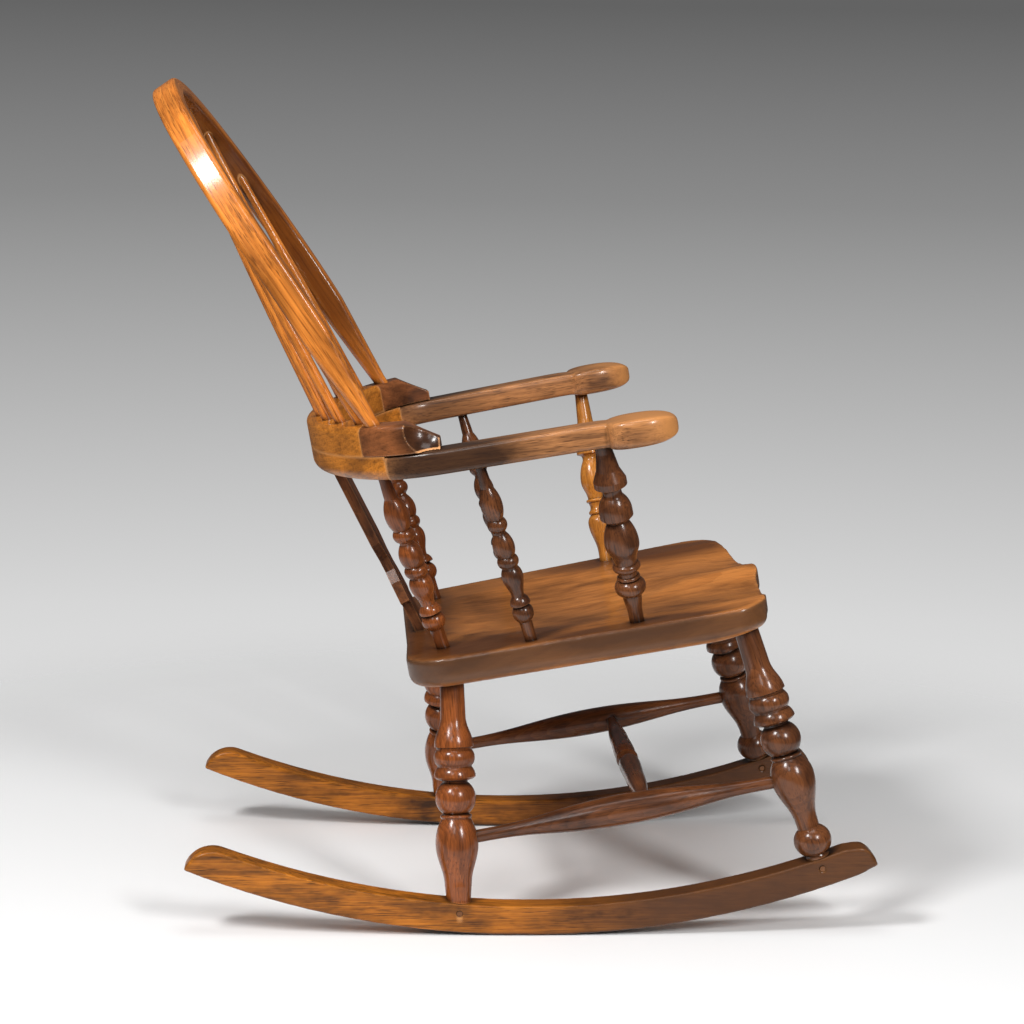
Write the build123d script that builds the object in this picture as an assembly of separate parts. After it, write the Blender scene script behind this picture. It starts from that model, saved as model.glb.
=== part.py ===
from build123d import *
import os
from math import asin, atan2, cos, degrees, radians, sin, sqrt, tan

# Hoop-back Windsor rocking chair, built as a Windsor chair is: every stick, spindle, leg and stretcher is a
# separate turned piece with round ends in blind sockets, and the seat carries the undercarriage and the back.
#
# Bench frame, in which all pieces are made: the seat's top is level at z = 0, x runs across the chair, y runs
# towards the back. The finished chair is then tipped back on its rockers until its mass is over the line on
# which the rockers touch the floor, and its footprint is centred on the origin.

# ---------------------------------------------------------------- fits
GLUE_LINE = 0.12          # radial room for glue round every round end, and between glued faces
SOCKET_END_ROOM = 0.3     # room left at the bottom of a blind socket

# ---------------------------------------------------------------- working allowances, none of which shows
CLEAR = 12.0              # a cutter for a hole starts this far outside the face it enters
OVERLAP = 1.0             # two lengths of one piece run this far into each other where they join
BENCH = 1000.0            # longer than any piece, for blocks and bars that cut right across

# ---------------------------------------------------------------- seat
SEAT_THICKNESS = 38.0
SEAT_FRONT_HALF_WIDTH = 237.0
SEAT_BACK_HALF_WIDTH = 207.0
SEAT_FRONT_Y = -250.0     # the front edge's ends; its middle bows forward from there
SEAT_FRONT_BOW = 14.0
SEAT_BACK_Y = 192.0
SEAT_FRONT_CORNER = 46.0
SEAT_BACK_CORNER = 56.0
SEAT_TOP_ROUND = 5.0
SEAT_BOTTOM_ROUND = 13.0
THIGH_HOLLOW_X = 98.0     # centre of each thigh hollow, either side of the front ridge
THIGH_HOLLOW_DEPTH = 8.0
THIGH_HOLLOW_HALF_WIDTH = 94.0
THIGH_HOLLOW_TILT = 1.6   # degrees; the hollow deepens towards the front edge
SEAT_DISH_Y = -10.0       # middle of the broad dish behind the two hollows
SEAT_DISH_DEPTH = 8.0
SEAT_DISH_RADIUS = 165.0

# ---------------------------------------------------------------- rockers
ROCKER_RADIUS = 1112.0    # curve of the underside, which rolls on the floor
ROCKER_CENTRE_Y = -104.0
ROCKER_CENTRE_Z = 739.0
ROCKER_DEPTH = 37.0
ROCKER_THICKNESS = 32.0
ROCKER_INSET = 8.0           # the middle of each rocker's thickness, in from the seat's front width
ROCKER_FRONT_Y = -332.0   # the pointed ends of the underside
ROCKER_BACK_Y = 503.0
ROCKER_NOSE = 34.0        # the top corner of each end is rounded off to the underside
ROCKER_EDGE = 2.5
PEG_RADIUS = 3.5          # pegs across the rocker, through the foot of each leg
FOOT_TENON_RADIUS = 9.0   # the round end of each leg, in its rocker
FOOT_TENON_DEPTH = 26.0

# ---------------------------------------------------------------- legs
LEG_SOCKET_DEPTH = 24.0
FRONT_LEG_INSETS = (45.0, 28.0)      # at the seat's underside, in from its side and its end
BACK_LEG_INSETS = (33.0, 48.0)
LEG_RAKE = 39.0              # each foot stands this far outside its leg's top, along the chair
LEG_TOP_RADIUS = 14.8
LEG_FOOT_RADIUS = 14.8    # where the leg stands on its rocker

# ---------------------------------------------------------------- stretchers
STRETCHER_RISE = 71.0        # the side stretchers' height above the rocker's top at the back leg
STRETCHER_SHORT = 6.5     # a side stretcher stops this short of each leg's axis
SIDE_STRETCHER_END = 8.0
SIDE_STRETCHER_MIDDLE = 15.5
CENTRE_STRETCHER_Y = -64.0
CENTRE_STRETCHER_END = 6.0
CENTRE_STRETCHER_SOCKET = 9.0
CENTRE_TAPER_RUN = 105.0
CENTRE_SWELL_RUN = 60.0
CENTRE_NECK_RUN = 22.0

# ---------------------------------------------------------------- arm bow: two arms and a back rail
ARM_UNDERSIDE_Z = 228.0
ARM_THICKNESS = 30.5
BOW_BACK_Y = 267.0
BOW_RADIUS = 345.0        # outer edge round the back, up to the shoulders
SHOULDER_RADIUS = 130.0   # outer edge round each shoulder
SHOULDER_ANGLE = 36.0     # angles round the bow count from the middle of the back
ARM_ANGLE = 84.0          # beyond this angle the arm runs straight forward
BOW_WIDTH = 45.0
RAIL_JOINT_ANGLE = 52.0   # each arm meets the rail here
RAIL_LOWER_ROUND = 14.0
ARM_TOP_ROUND = 8.0
ARM_LOWER_ROUND = 5.0
PAD_Y = -124.0
PAD_OUTSET = 4.4             # the pad's middle lies outside the arm's middle line
PAD_HALF_WIDTH = 37.0
PAD_HALF_LENGTH = 48.0
PAD_PROUD = 2.5           # the hand pad hangs this much below the arm
PAD_TOP_ROUND = 14.0
PAD_LOWER_ROUND = 9.0

# ---------------------------------------------------------------- crest block on the bow
CREST_HEIGHT = 36.0
CREST_WIDTH = 39.0
CREST_TOP_ROUND = 8.0
CREST_END_ANGLE = 84.0    # where the toe of each end runs out on the arm
CREST_SLOPE = 31.0        # degrees; each end's top slopes down to its toe
CREST_TOE_HEIGHT = 12.0
SCOOP_RADIUS = 29.0       # the round scoop carved from each end's outer face
SCOOP_PROUD = 3.0         # the scoop's centre lies this far outside the outer face
SCOOP_Z = 26.0            # height of its centre above the arm's top
SCOOP_ANGLE = 79.0

# ---------------------------------------------------------------- hoop and sticks
HOOP_FOOT_ANGLE = 44.5    # round the bow
HOOP_LOWER_LEAN = 22.2    # degrees back from upright, from the crest block up
HOOP_UPPER_LEAN = 24.2    # after the bend
HOOP_TWIST = 2.2          # degrees; the hoop sits a little turned on the crest, its right side further back
HOOP_STRAIGHT = 140.0
HOOP_BEND_LENGTH = 65.0
HOOP_ARCH_HEIGHT = 260.0
HOOP_CROWN_RADIUS = 176.0
HOOP_DEPTH = 34.0         # front to back
HOOP_WIDTH = 25.0         # across
HOOP_EDGE = 6.0
HOOP_FOOT_RADIUS = 8.5
HOOP_FOOT_TAPER = 125.0
HOOP_FOOT_NECK = 6.0      # the plain round foot shows this far above the crest
HOOP_SOCKET_DEPTH = 28.0
STICKS_PER_SIDE = 4
STICK_SPACING_ANGLE = 9.2
STICK_FOOT_RADIUS = 6.4
STICK_SWELL_RADIUS = 7.2
STICK_TOP_RADIUS = 5.0
STICK_NECK = 3.0          # plain length above the crest
STICK_SWELL_RUN = 130.0   # from there up to the thickest point
STICK_PLAIN_TOP = 40.0
STICK_SOCKET_DEPTH = 22.0
STICK_TOP_SPREAD = 0.97   # the sticks draw together a little towards the hoop

# ---------------------------------------------------------------- lower splat
SPLAT_THICKNESS = 12.0
SPLAT_FOOT_Y = 172.0
SPLAT_TENON = 14.0
SPLAT_TENON_HALF_WIDTH = 30.0
SPLAT_HALF_OUTLINE = ((36.0, 0.0), (36.0, 41.0), (47.0, 45.0), (40.0, 72.0), (27.0, 92.0), (30.0, 105.0),
                      (46.0, 128.0), (42.0, 239.0))      # half width, distance up from the seat

# ---------------------------------------------------------------- posts between the seat and the arms
POST_SOCKET_DEPTH = 20.0
RIGHT_FRONT_POST = (28.2, -91.0, -81.0)      # foot in from the seat's side, foot along, top along
LEFT_FRONT_POST = (28.3, -93.0, -101.0)      # an old replacement, set a little further forward
MIDDLE_POST = (22.3, 40.0, 66.0)
BACK_POST_FOOT = (61.0, 147.0)
BACK_POST_ANGLE = 37.6    # its top stands on the middle of the rail, at this angle round the bow
RIGHT_FRONT_POST_RADII = (9.2, 10.4)               # foot, top
LEFT_FRONT_POST_RADII = (8.2, 8.6)
MIDDLE_POST_RADII = (7.6, 6.2)
BACK_POST_RADII = (8.5, 7.0)
BACK_POST_GIRTH = 1.12    # the back posts share the middle posts' pattern, this much stouter

# ---------------------------------------------------------------- hidden dowels
DOWEL_RADIUS = 4.5
ARM_DOWEL_LENGTH = 36.0
ARM_DOWEL_INSETS = (14.0, 31.0)     # from the outer edge of the bow
ARM_DOWEL_Z = 243.0
CREST_DOWEL_IN_BOW = 12.0
CREST_DOWEL_IN_CREST = 18.0
CREST_DOWEL_ANGLES = (8.6, 25.8, 62.0)

# ---------------------------------------------------------------- places worked out from the sizes above
FRONT_LEG_TOP = (SEAT_FRONT_HALF_WIDTH - FRONT_LEG_INSETS[0], SEAT_FRONT_Y + FRONT_LEG_INSETS[1])
BACK_LEG_TOP = (SEAT_BACK_HALF_WIDTH - BACK_LEG_INSETS[0], SEAT_BACK_Y - BACK_LEG_INSETS[1])
FRONT_FOOT_Y = FRONT_LEG_TOP[1] - LEG_RAKE
BACK_FOOT_Y = BACK_LEG_TOP[1] + LEG_RAKE
ROCKER_X = SEAT_FRONT_HALF_WIDTH - ROCKER_INSET
BOW_CENTRE_Y = BOW_BACK_Y - BOW_RADIUS
ARM_TOP_Z = ARM_UNDERSIDE_Z + ARM_THICKNESS
CREST_BASE_Z = ARM_TOP_Z + GLUE_LINE
CREST_TOP_Z = CREST_BASE_Z + CREST_HEIGHT
SHOULDER_CENTRE_X = (BOW_RADIUS - SHOULDER_RADIUS) * sin(radians(SHOULDER_ANGLE))
SHOULDER_CENTRE_Y = BOW_CENTRE_Y + (BOW_RADIUS - SHOULDER_RADIUS) * cos(radians(SHOULDER_ANGLE))


def on_bow(angle, inset, z):
    """A point round the arm bow: angle in degrees from the middle of the back, inset from its outer edge."""
    side = -1 if angle < 0 else 1
    turn = radians(abs(angle))
    if abs(angle) <= SHOULDER_ANGLE:
        reach = BOW_RADIUS - inset
        return Vector(side * reach * sin(turn), BOW_CENTRE_Y + reach * cos(turn), z)
    reach = SHOULDER_RADIUS - inset
    return Vector(side * (SHOULDER_CENTRE_X + reach * sin(turn)), SHOULDER_CENTRE_Y + reach * cos(turn), z)


def bow_edge(start_angle, end_angle, inset):
    """The curve round the bow between two angles on one arc, as a plan curve."""
    points = [on_bow(angle, inset, 0) for angle in (start_angle, (start_angle + end_angle) / 2, end_angle)]
    return ThreePointArc(*points)


def bow_band(start_angle, end_angle, width, base_z, height):
    """A bar of the bow between two angles that lie on one arc."""
    outer = bow_edge(start_angle, end_angle, 0)
    inner = bow_edge(start_angle, end_angle, width)
    ends = [Line(outer @ 1, inner @ 1), Line(inner @ 0, outer @ 0)]
    return Pos(0, 0, base_z) * extrude(make_face(Curve() + [outer, inner] + ends), height)


def rod(start, end, radius):
    """A plain round rod between two points."""
    run = Vector(*end) - Vector(*start)
    seat = Plane(origin=start, z_dir=run)
    return seat * Cylinder(radius, run.length, align=(Align.CENTER, Align.CENTER, Align.MIN))


def beyond(start, end, extra):
    """The point that lies extra past end, on the line from start."""
    run = Vector(*end) - Vector(*start)
    return Vector(*end) + run.normalized() * extra


def socket(start, end, radius):
    """The hole for a round end that comes in at start and stops at end."""
    return rod(start, beyond(start, end, SOCKET_END_ROOM), radius + GLUE_LINE)


def flat_ended_arc(narrow, wide):
    """An arc from narrow to wide, (length, radius) each, that runs level along the axis at wide."""
    run, rise = wide[0] - narrow[0], wide[1] - narrow[1]
    radius = (run ** 2 + rise ** 2) / (2 * rise)
    half_turn = asin(run / radius) / 2
    middle = (wide[0] - radius * sin(half_turn), wide[1] - radius + radius * cos(half_turn))
    return ThreePointArc(narrow, middle, wide)


def turning(start_radius, steps, length):
    """A lathe-turned solid along +X. Each step is (shape, run, radius), and the runs stretch to fill length.

    line goes straight to radius; ogee goes there in an S; bead and cove bulge to radius and come back;
    swell rises to radius and ends level; fall starts level and drops to radius.
    """
    stretch = length / sum(run for shape, run, radius in steps)
    here = (0.0, start_radius)
    edges = []
    for shape, run, radius in steps:
        run = run * stretch
        if shape in ("bead", "cove"):
            there = (here[0] + run, here[1])
            edges.append(ThreePointArc(here, (here[0] + run / 2, radius), there))
        elif shape == "swell":
            there = (here[0] + run, radius)
            edges.append(flat_ended_arc(here, there))
        elif shape == "fall":
            there = (here[0] + run, radius)
            mirrored = flat_ended_arc((-there[0], radius), (-here[0], here[1]))
            edges.append(mirror(mirrored, Plane.YZ))
        elif shape == "ogee":
            there = (here[0] + run, radius)
            edges.append(Spline(here, there, tangents=((1, 0), (1, 0))))
        else:
            there = (here[0] + run, radius)
            edges.append(Line(here, there))
        here = there
    edges.append(Polyline(here, (here[0], 0), (0, 0), (0, start_radius)))
    return revolve(make_face(Curve() + edges), Axis.X)


def set_on(start, end, turned_piece):
    """Lay a piece that was turned along +X on the line from start to end."""
    run = Vector(*end) - Vector(*start)
    side = run.cross(Vector(0, 0, 1)) if abs(run.Z) < run.length * 0.99 else Vector(0, 1, 0)
    return Plane(origin=start, x_dir=run, z_dir=run.cross(side)) * turned_piece


# ---------------------------------------------------------------- the turner's patterns
def leg_steps(foot):
    """The leg's pattern below the seat: trumpet, two rings, ball and vase, then a plain foot or a ball foot."""
    steps = [
        ("line", 42, 15.6), ("ogee", 36, 24.2), ("line", 1.5, 21.5), ("line", 2, 21.5),
        ("bead", 19, 25.3), ("line", 1.5, 21.0), ("swell", 12, 25.8), ("line", 2.5, 22.5), ("line", 2, 15.6),
        ("line", 2, 15.6), ("bead", 37, 25.0), ("line", 1.5, 18.5), ("bead", 3.5, 19.5), ("line", 1, 18.0),
    ]
    if foot == "ball":
        return steps + [("swell", 24, 27.0), ("ogee", 58, 13.8), ("line", 7, 13.8), ("bead", 34, 23.4),
                        ("line", 3, LEG_FOOT_RADIUS)]
    return steps + [("swell", 30, 26.3), ("ogee", 50, 16.6), ("line", 17, LEG_FOOT_RADIUS)]


def side_stretcher_steps():
    """A long cigar: thin round ends that swell to the middle."""
    return [("line", 34, SIDE_STRETCHER_END), ("ogee", 176, SIDE_STRETCHER_MIDDLE),
            ("ogee", 176, SIDE_STRETCHER_END), ("line", 34, SIDE_STRETCHER_END)]


def centre_stretcher_steps():
    """Two vases either side of a ring between grooves, with thin tapered ends."""
    half = [("ogee", CENTRE_TAPER_RUN, 12.5), ("ogee", CENTRE_SWELL_RUN, 14.0), ("fall", CENTRE_NECK_RUN, 9.0),
            ("line", 2, 11.5)]
    mirrored_half = [("line", 2, 9.0), ("swell", CENTRE_NECK_RUN, 14.0), ("ogee", CENTRE_SWELL_RUN, 12.5),
                     ("ogee", CENTRE_TAPER_RUN, CENTRE_STRETCHER_END)]
    return half + [("bead", 11, 14.5)] + mirrored_half


def spindle_steps(girth, foot_radius):
    """The arm spindle's pattern, from the arm down, shared by the middle and back posts; girth fattens it."""
    return [
        ("ogee", 24, 7.4 * girth), ("swell", 21, 13.4 * girth), ("fall", 16, 9.2 * girth),
        ("bead", 13, 12.2 * girth), ("line", 1.5, 7.6 * girth), ("line", 2, 7.6 * girth),
        ("swell", 16, 13.4 * girth), ("fall", 11, 10.2 * girth), ("bead", 12, 13.2 * girth),
        ("line", 1.5, 9.5 * girth), ("swell", 10, 13.2 * girth), ("ogee", 24, 7.8 * girth),
        ("swell", 9, 12.6 * girth), ("line", 1.5, 8.0 * girth), ("bead", 19, 13.2 * girth),
        ("ogee", 16, foot_radius), ("line", 8, foot_radius),
    ]


def cup_post_steps():
    """The right-hand front post, from the arm down: cone, cup with a shoulder, vase, ring and ball."""
    foot_radius, top_radius = RIGHT_FRONT_POST_RADII
    return [
        ("line", 4, top_radius), ("line", 20, 14.2), ("line", 12, 20.0), ("line", 7, 20.0), ("line", 3, 13.0), ("cove", 10, 11.4),
        ("swell", 17, 20.2), ("line", 7, 20.2), ("line", 6, 13.0),
        ("swell", 26, 21.0), ("ogee", 24, 13.6), ("bead", 9, 17.2), ("line", 2, 11.8), ("line", 4, 11.8),
        ("bead", 5, 14.2), ("bead", 19, 19.2), ("ogee", 22, foot_radius), ("line", 12, foot_radius),
    ]


def collar_post_steps():
    """The left-hand front post, an old replacement: a square-edged collar, a long vase, a thin ring and a second
    vase that tapers to the foot."""
    foot_radius, top_radius = LEFT_FRONT_POST_RADII
    return [
        ("line", 4, top_radius), ("line", 24, 10.2), ("ogee", 42, 17.8), ("line", 7, 17.8), ("line", 2, 12.2), ("cove", 8, 11.0),
        ("swell", 24, 18.0), ("ogee", 24, 11.6), ("bead", 4, 14.6), ("line", 2, 11.2), ("cove", 8, 10.2),
        ("bead", 6, 13.2), ("swell", 10, 16.2), ("ogee", 38, foot_radius), ("line", 10, foot_radius),
    ]


# ---------------------------------------------------------------- undercarriage
def inside_rocker_top(piece):
    """Trim a leg to the rockers' top, which is a hollow curve."""
    trimmer = Pos(0, ROCKER_CENTRE_Y, ROCKER_CENTRE_Z) * Rot(0, 90, 0) * Cylinder(
        ROCKER_RADIUS - ROCKER_DEPTH - GLUE_LINE, 4 * ROCKER_X)
    return piece & trimmer


def rocker_top_z(y, inset=0.0):
    """Height of the rockers' top at y, or inset below it."""
    return ROCKER_CENTRE_Z - sqrt((ROCKER_RADIUS - ROCKER_DEPTH + inset) ** 2 - (y - ROCKER_CENTRE_Y) ** 2)


def leg_line(side, top, foot_y):
    """The leg's axis, from the underside of the seat to the top of its rocker."""
    start = Vector(side * top[0], top[1], -SEAT_THICKNESS)
    end = Vector(side * ROCKER_X, foot_y, rocker_top_z(foot_y))
    return start, end


def leg_ends(side, top, foot_y):
    """Where the leg's axis ends inside the seat and inside the rocker."""
    start, end = leg_line(side, top, foot_y)
    return beyond(end, start, LEG_SOCKET_DEPTH), beyond(start, end, FOOT_TENON_DEPTH)


def peg(side, top, foot_y):
    """The axis of the peg across a rocker, through the leg's foot."""
    start, end = leg_line(side, top, foot_y)
    middle = beyond(start, end, FOOT_TENON_DEPTH / 2)
    half = Vector(ROCKER_THICKNESS / 2, 0, 0)
    centre = Vector(side * ROCKER_X, middle.Y, middle.Z)
    return centre - half, centre + half


def stretcher_point(side, top, foot_y):
    """Where the side stretcher meets the leg's axis."""
    start, end = leg_line(side, top, foot_y)
    height = rocker_top_z(BACK_FOOT_Y) + STRETCHER_RISE
    share = (height - start.Z) / (end.Z - start.Z)
    return start + (end - start) * share


def side_stretcher_ends(side):
    """The side stretcher's axis, from inside the back leg to inside the front leg."""
    back = stretcher_point(side, BACK_LEG_TOP, BACK_FOOT_Y)
    front = stretcher_point(side, FRONT_LEG_TOP, FRONT_FOOT_Y)
    return beyond(front, back, -STRETCHER_SHORT), beyond(back, front, -STRETCHER_SHORT)


def centre_stretcher_ends():
    """The centre stretcher's axis, from inside one side stretcher to inside the other."""
    back, front = side_stretcher_ends(1)
    share = (CENTRE_STRETCHER_Y - back.Y) / (front.Y - back.Y)
    end = back + (front - back) * share
    reach = end.X - SIDE_STRETCHER_MIDDLE + CENTRE_STRETCHER_SOCKET
    return Vector(-reach, end.Y, end.Z), Vector(reach, end.Y, end.Z)


def leg(side, top, foot_y, foot):
    start, end = leg_line(side, top, foot_y)
    seat_end, rocker_end = leg_ends(side, top, foot_y)
    body = set_on(start, end, turning(LEG_TOP_RADIUS, leg_steps(foot), (end - start).length))
    body = body + rod(beyond(end, start, -OVERLAP), seat_end, LEG_TOP_RADIUS)
    body = body + rod(beyond(start, end, -OVERLAP), beyond(start, end, CLEAR), LEG_FOOT_RADIUS)
    body = inside_rocker_top(body) + rod(start, rocker_end, FOOT_TENON_RADIUS)
    back, front = side_stretcher_ends(side)
    stretcher_end, other_end = (back, front) if foot_y > 0 else (front, back)
    body = body - socket(other_end, stretcher_end, SIDE_STRETCHER_END)
    first, last = peg(side, top, foot_y)
    return body - rod(first, last, PEG_RADIUS + GLUE_LINE)


def rocker_blank():
    """One rocker on the chair's middle plane: a curved bar with its ends' top corners rounded to the underside."""
    inner = ROCKER_RADIUS - ROCKER_DEPTH
    centre = Vector(ROCKER_CENTRE_Y, ROCKER_CENTRE_Z)
    front_turn = asin((ROCKER_FRONT_Y - ROCKER_CENTRE_Y) / ROCKER_RADIUS)
    back_turn = asin((ROCKER_BACK_Y - ROCKER_CENTRE_Y) / ROCKER_RADIUS)
    nose_turn = ROCKER_NOSE / ROCKER_RADIUS

    def at(turn, radius):
        return centre + Vector(sin(turn), -cos(turn)) * radius

    front_tip, back_tip = at(front_turn, ROCKER_RADIUS), at(back_turn, ROCKER_RADIUS)
    nose_edge = ROCKER_NOSE * (1 - sqrt(0.5))
    outline = Curve() + [
        ThreePointArc(front_tip, at((front_turn + back_turn) / 2, ROCKER_RADIUS), back_tip),
        ThreePointArc(back_tip, at(back_turn - nose_edge / ROCKER_RADIUS, ROCKER_RADIUS - ROCKER_DEPTH * sqrt(0.5)),
                      at(back_turn - nose_turn, inner)),
        ThreePointArc(at(back_turn - nose_turn, inner), at((front_turn + back_turn) / 2, inner),
                      at(front_turn + nose_turn, inner)),
        ThreePointArc(at(front_turn + nose_turn, inner),
                      at(front_turn + nose_edge / ROCKER_RADIUS, ROCKER_RADIUS - ROCKER_DEPTH * sqrt(0.5)), front_tip),
    ]
    bar = extrude(Plane.YZ * make_face(outline), ROCKER_THICKNESS / 2, both=True)
    return fillet(bar.edges().filter_by(GeomType.CIRCLE), ROCKER_EDGE)


def rocker(side):
    bar = Pos(side * ROCKER_X, 0, 0) * rocker_blank()
    for top, foot_y in ((FRONT_LEG_TOP, FRONT_FOOT_Y), (BACK_LEG_TOP, BACK_FOOT_Y)):
        start, end = leg_line(side, top, foot_y)
        rocker_end = leg_ends(side, top, foot_y)[1]
        bar = bar - socket(beyond(start, end, -CLEAR), rocker_end, FOOT_TENON_RADIUS)
        first, last = peg(side, top, foot_y)
        bar = bar - rod(first, last, PEG_RADIUS + GLUE_LINE)
    return bar


def rocker_pegs():
    pegs = []
    for side in (-1, 1):
        for top, foot_y in ((FRONT_LEG_TOP, FRONT_FOOT_Y), (BACK_LEG_TOP, BACK_FOOT_Y)):
            first, last = peg(side, top, foot_y)
            pegs.append(rod(first, last, PEG_RADIUS))
    return Compound(children=pegs)


def side_stretcher(side):
    back, front = side_stretcher_ends(side)
    piece = set_on(back, front, turning(SIDE_STRETCHER_END, side_stretcher_steps(), (front - back).length))
    left, right = centre_stretcher_ends()
    inner, outer = (left, right) if side > 0 else (right, left)
    return piece - socket(inner, outer, CENTRE_STRETCHER_END)


def centre_stretcher():
    left, right = centre_stretcher_ends()
    return set_on(left, right, turning(CENTRE_STRETCHER_END, centre_stretcher_steps(), (right - left).length))


# ---------------------------------------------------------------- seat
def seat_blank():
    front = ThreePointArc((-SEAT_FRONT_HALF_WIDTH, SEAT_FRONT_Y), (0, SEAT_FRONT_Y - SEAT_FRONT_BOW),
                          (SEAT_FRONT_HALF_WIDTH, SEAT_FRONT_Y))
    rest = Polyline((SEAT_FRONT_HALF_WIDTH, SEAT_FRONT_Y), (SEAT_BACK_HALF_WIDTH, SEAT_BACK_Y),
                    (-SEAT_BACK_HALF_WIDTH, SEAT_BACK_Y), (-SEAT_FRONT_HALF_WIDTH, SEAT_FRONT_Y))
    outline = make_face(Curve() + [front, rest])
    front_corners = outline.vertices().filter_by(lambda v: v.Y < 0)
    outline = fillet(front_corners, SEAT_FRONT_CORNER)
    back_corners = outline.vertices().filter_by(lambda v: v.Y > SEAT_BACK_Y - 1)
    outline = fillet(back_corners, SEAT_BACK_CORNER)
    return Pos(0, 0, -SEAT_THICKNESS) * extrude(outline, SEAT_THICKNESS)


def seat_hollows():
    """The saddling: two thigh hollows that run out at the front edge, and a broad dish behind them."""
    radius = (THIGH_HOLLOW_HALF_WIDTH ** 2 + THIGH_HOLLOW_DEPTH ** 2) / (2 * THIGH_HOLLOW_DEPTH)
    hollows = []
    for side in (-1, 1):
        trough = Rot(90, 0, 0) * Cylinder(radius, BENCH)
        trough = Rot(THIGH_HOLLOW_TILT, 0, 0) * trough
        hollows.append(Pos(side * THIGH_HOLLOW_X, SEAT_FRONT_Y, radius - THIGH_HOLLOW_DEPTH) * trough)
    dish_radius = (SEAT_DISH_RADIUS ** 2 + SEAT_DISH_DEPTH ** 2) / (2 * SEAT_DISH_DEPTH)
    hollows.append(Pos(0, SEAT_DISH_Y, dish_radius - SEAT_DISH_DEPTH) * Sphere(dish_radius))
    return hollows


def seat():
    board = seat_blank()
    board = fillet(board.faces().sort_by(Axis.Z)[0].edges(), SEAT_BOTTOM_ROUND)
    board = fillet(board.faces().sort_by(Axis.Z)[-1].edges(), SEAT_TOP_ROUND)
    for hollow in seat_hollows():
        board = board - hollow
    for side in (-1, 1):
        for top, foot_y in ((FRONT_LEG_TOP, FRONT_FOOT_Y), (BACK_LEG_TOP, BACK_FOOT_Y)):
            start, end = leg_line(side, top, foot_y)
            board = board - socket(beyond(end, start, -CLEAR), leg_ends(side, top, foot_y)[0], LEG_TOP_RADIUS)
        for name, line, radii, steps in posts(side):
            board = board - socket(line[1], beyond(line[1], line[0], POST_SOCKET_DEPTH), radii[0])
    return board - splat_mortises()


# ---------------------------------------------------------------- arm bow
def seat_side_x(y):
    """Half the seat's width at y, where its side is straight."""
    share = (y - SEAT_FRONT_Y) / (SEAT_BACK_Y - SEAT_FRONT_Y)
    return SEAT_FRONT_HALF_WIDTH + (SEAT_BACK_HALF_WIDTH - SEAT_FRONT_HALF_WIDTH) * share


def arm_middle_x(y):
    """The arm's middle line at y, where the arm runs straight forward."""
    start = on_bow(ARM_ANGLE, BOW_WIDTH / 2, ARM_UNDERSIDE_Z)
    return start.X + (start.Y - y) / tan(radians(ARM_ANGLE))


def post_line(side, place, top_z):
    """A post's axis, from the seat's top to the underside of the arm."""
    inset, foot_y, top_y = place
    foot = Vector(side * (seat_side_x(foot_y) - inset), foot_y, 0)
    return foot, Vector(side * arm_middle_x(top_y), top_y, top_z)


def back_post_line(side):
    top = on_bow(side * BACK_POST_ANGLE, BOW_WIDTH / 2, ARM_UNDERSIDE_Z)
    inset, foot_y = BACK_POST_FOOT
    return Vector(side * (seat_side_x(foot_y) - inset), foot_y, 0), top


def posts(side):
    """The three posts on one side: name, axis, radii of foot and top, turning steps."""
    hand = "right" if side < 0 else "left"
    front_ends = RIGHT_FRONT_POST if side < 0 else LEFT_FRONT_POST
    front_radii = RIGHT_FRONT_POST_RADII if side < 0 else LEFT_FRONT_POST_RADII
    front_steps = cup_post_steps() if side < 0 else collar_post_steps()
    return [
        ("front_post_" + hand, post_line(side, front_ends, ARM_UNDERSIDE_Z - PAD_PROUD), front_radii, front_steps),
        ("middle_post_" + hand, post_line(side, MIDDLE_POST, ARM_UNDERSIDE_Z), MIDDLE_POST_RADII,
         spindle_steps(1.0, MIDDLE_POST_RADII[0])),
        ("back_post_" + hand, back_post_line(side), BACK_POST_RADII,
         spindle_steps(BACK_POST_GIRTH, BACK_POST_RADII[0])),
    ]


def post(line, radii, steps):
    """A turned post, laid out from the arm down, with plain round ends in both sockets."""
    foot, top = line
    foot_radius, top_radius = radii
    body = set_on(top, foot, turning(top_radius, steps, (top - foot).length))
    body = body + rod(beyond(top, foot, -OVERLAP), beyond(top, foot, POST_SOCKET_DEPTH), foot_radius)
    return body + rod(beyond(foot, top, -OVERLAP), beyond(foot, top, POST_SOCKET_DEPTH), top_radius)


def cut_post_tops(piece, side):
    for name, line, radii, steps in posts(side):
        piece = piece - socket(line[0], beyond(line[0], line[1], POST_SOCKET_DEPTH), radii[1])
    return piece


def arm_dowels():
    dowels = []
    for side in (-1, 1):
        for inset in ARM_DOWEL_INSETS:
            dowels.append(rod(*arm_dowel_line(side, inset), DOWEL_RADIUS))
    return Compound(children=dowels)


def arm_dowel_line(side, inset):
    """A dowel's axis, square to the joint between the arm and the rail."""
    middle = on_bow(side * RAIL_JOINT_ANGLE, inset, ARM_DOWEL_Z)
    turn = radians(RAIL_JOINT_ANGLE)
    along = Vector(side * cos(turn), -sin(turn), 0) * (ARM_DOWEL_LENGTH / 2)
    return middle - along, middle + along


def cut_arm_dowels(piece, side):
    for inset in ARM_DOWEL_INSETS:
        first, last = arm_dowel_line(side, inset)
        room = (last - first).normalized() * SOCKET_END_ROOM
        piece = piece - rod(first - room, last + room, DOWEL_RADIUS + GLUE_LINE)
    return piece


def crest_dowel_line(angle):
    inset = CREST_WIDTH / 2
    return (on_bow(angle, inset, ARM_TOP_Z - CREST_DOWEL_IN_BOW),
            on_bow(angle, inset, CREST_BASE_Z + CREST_DOWEL_IN_CREST))


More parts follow.
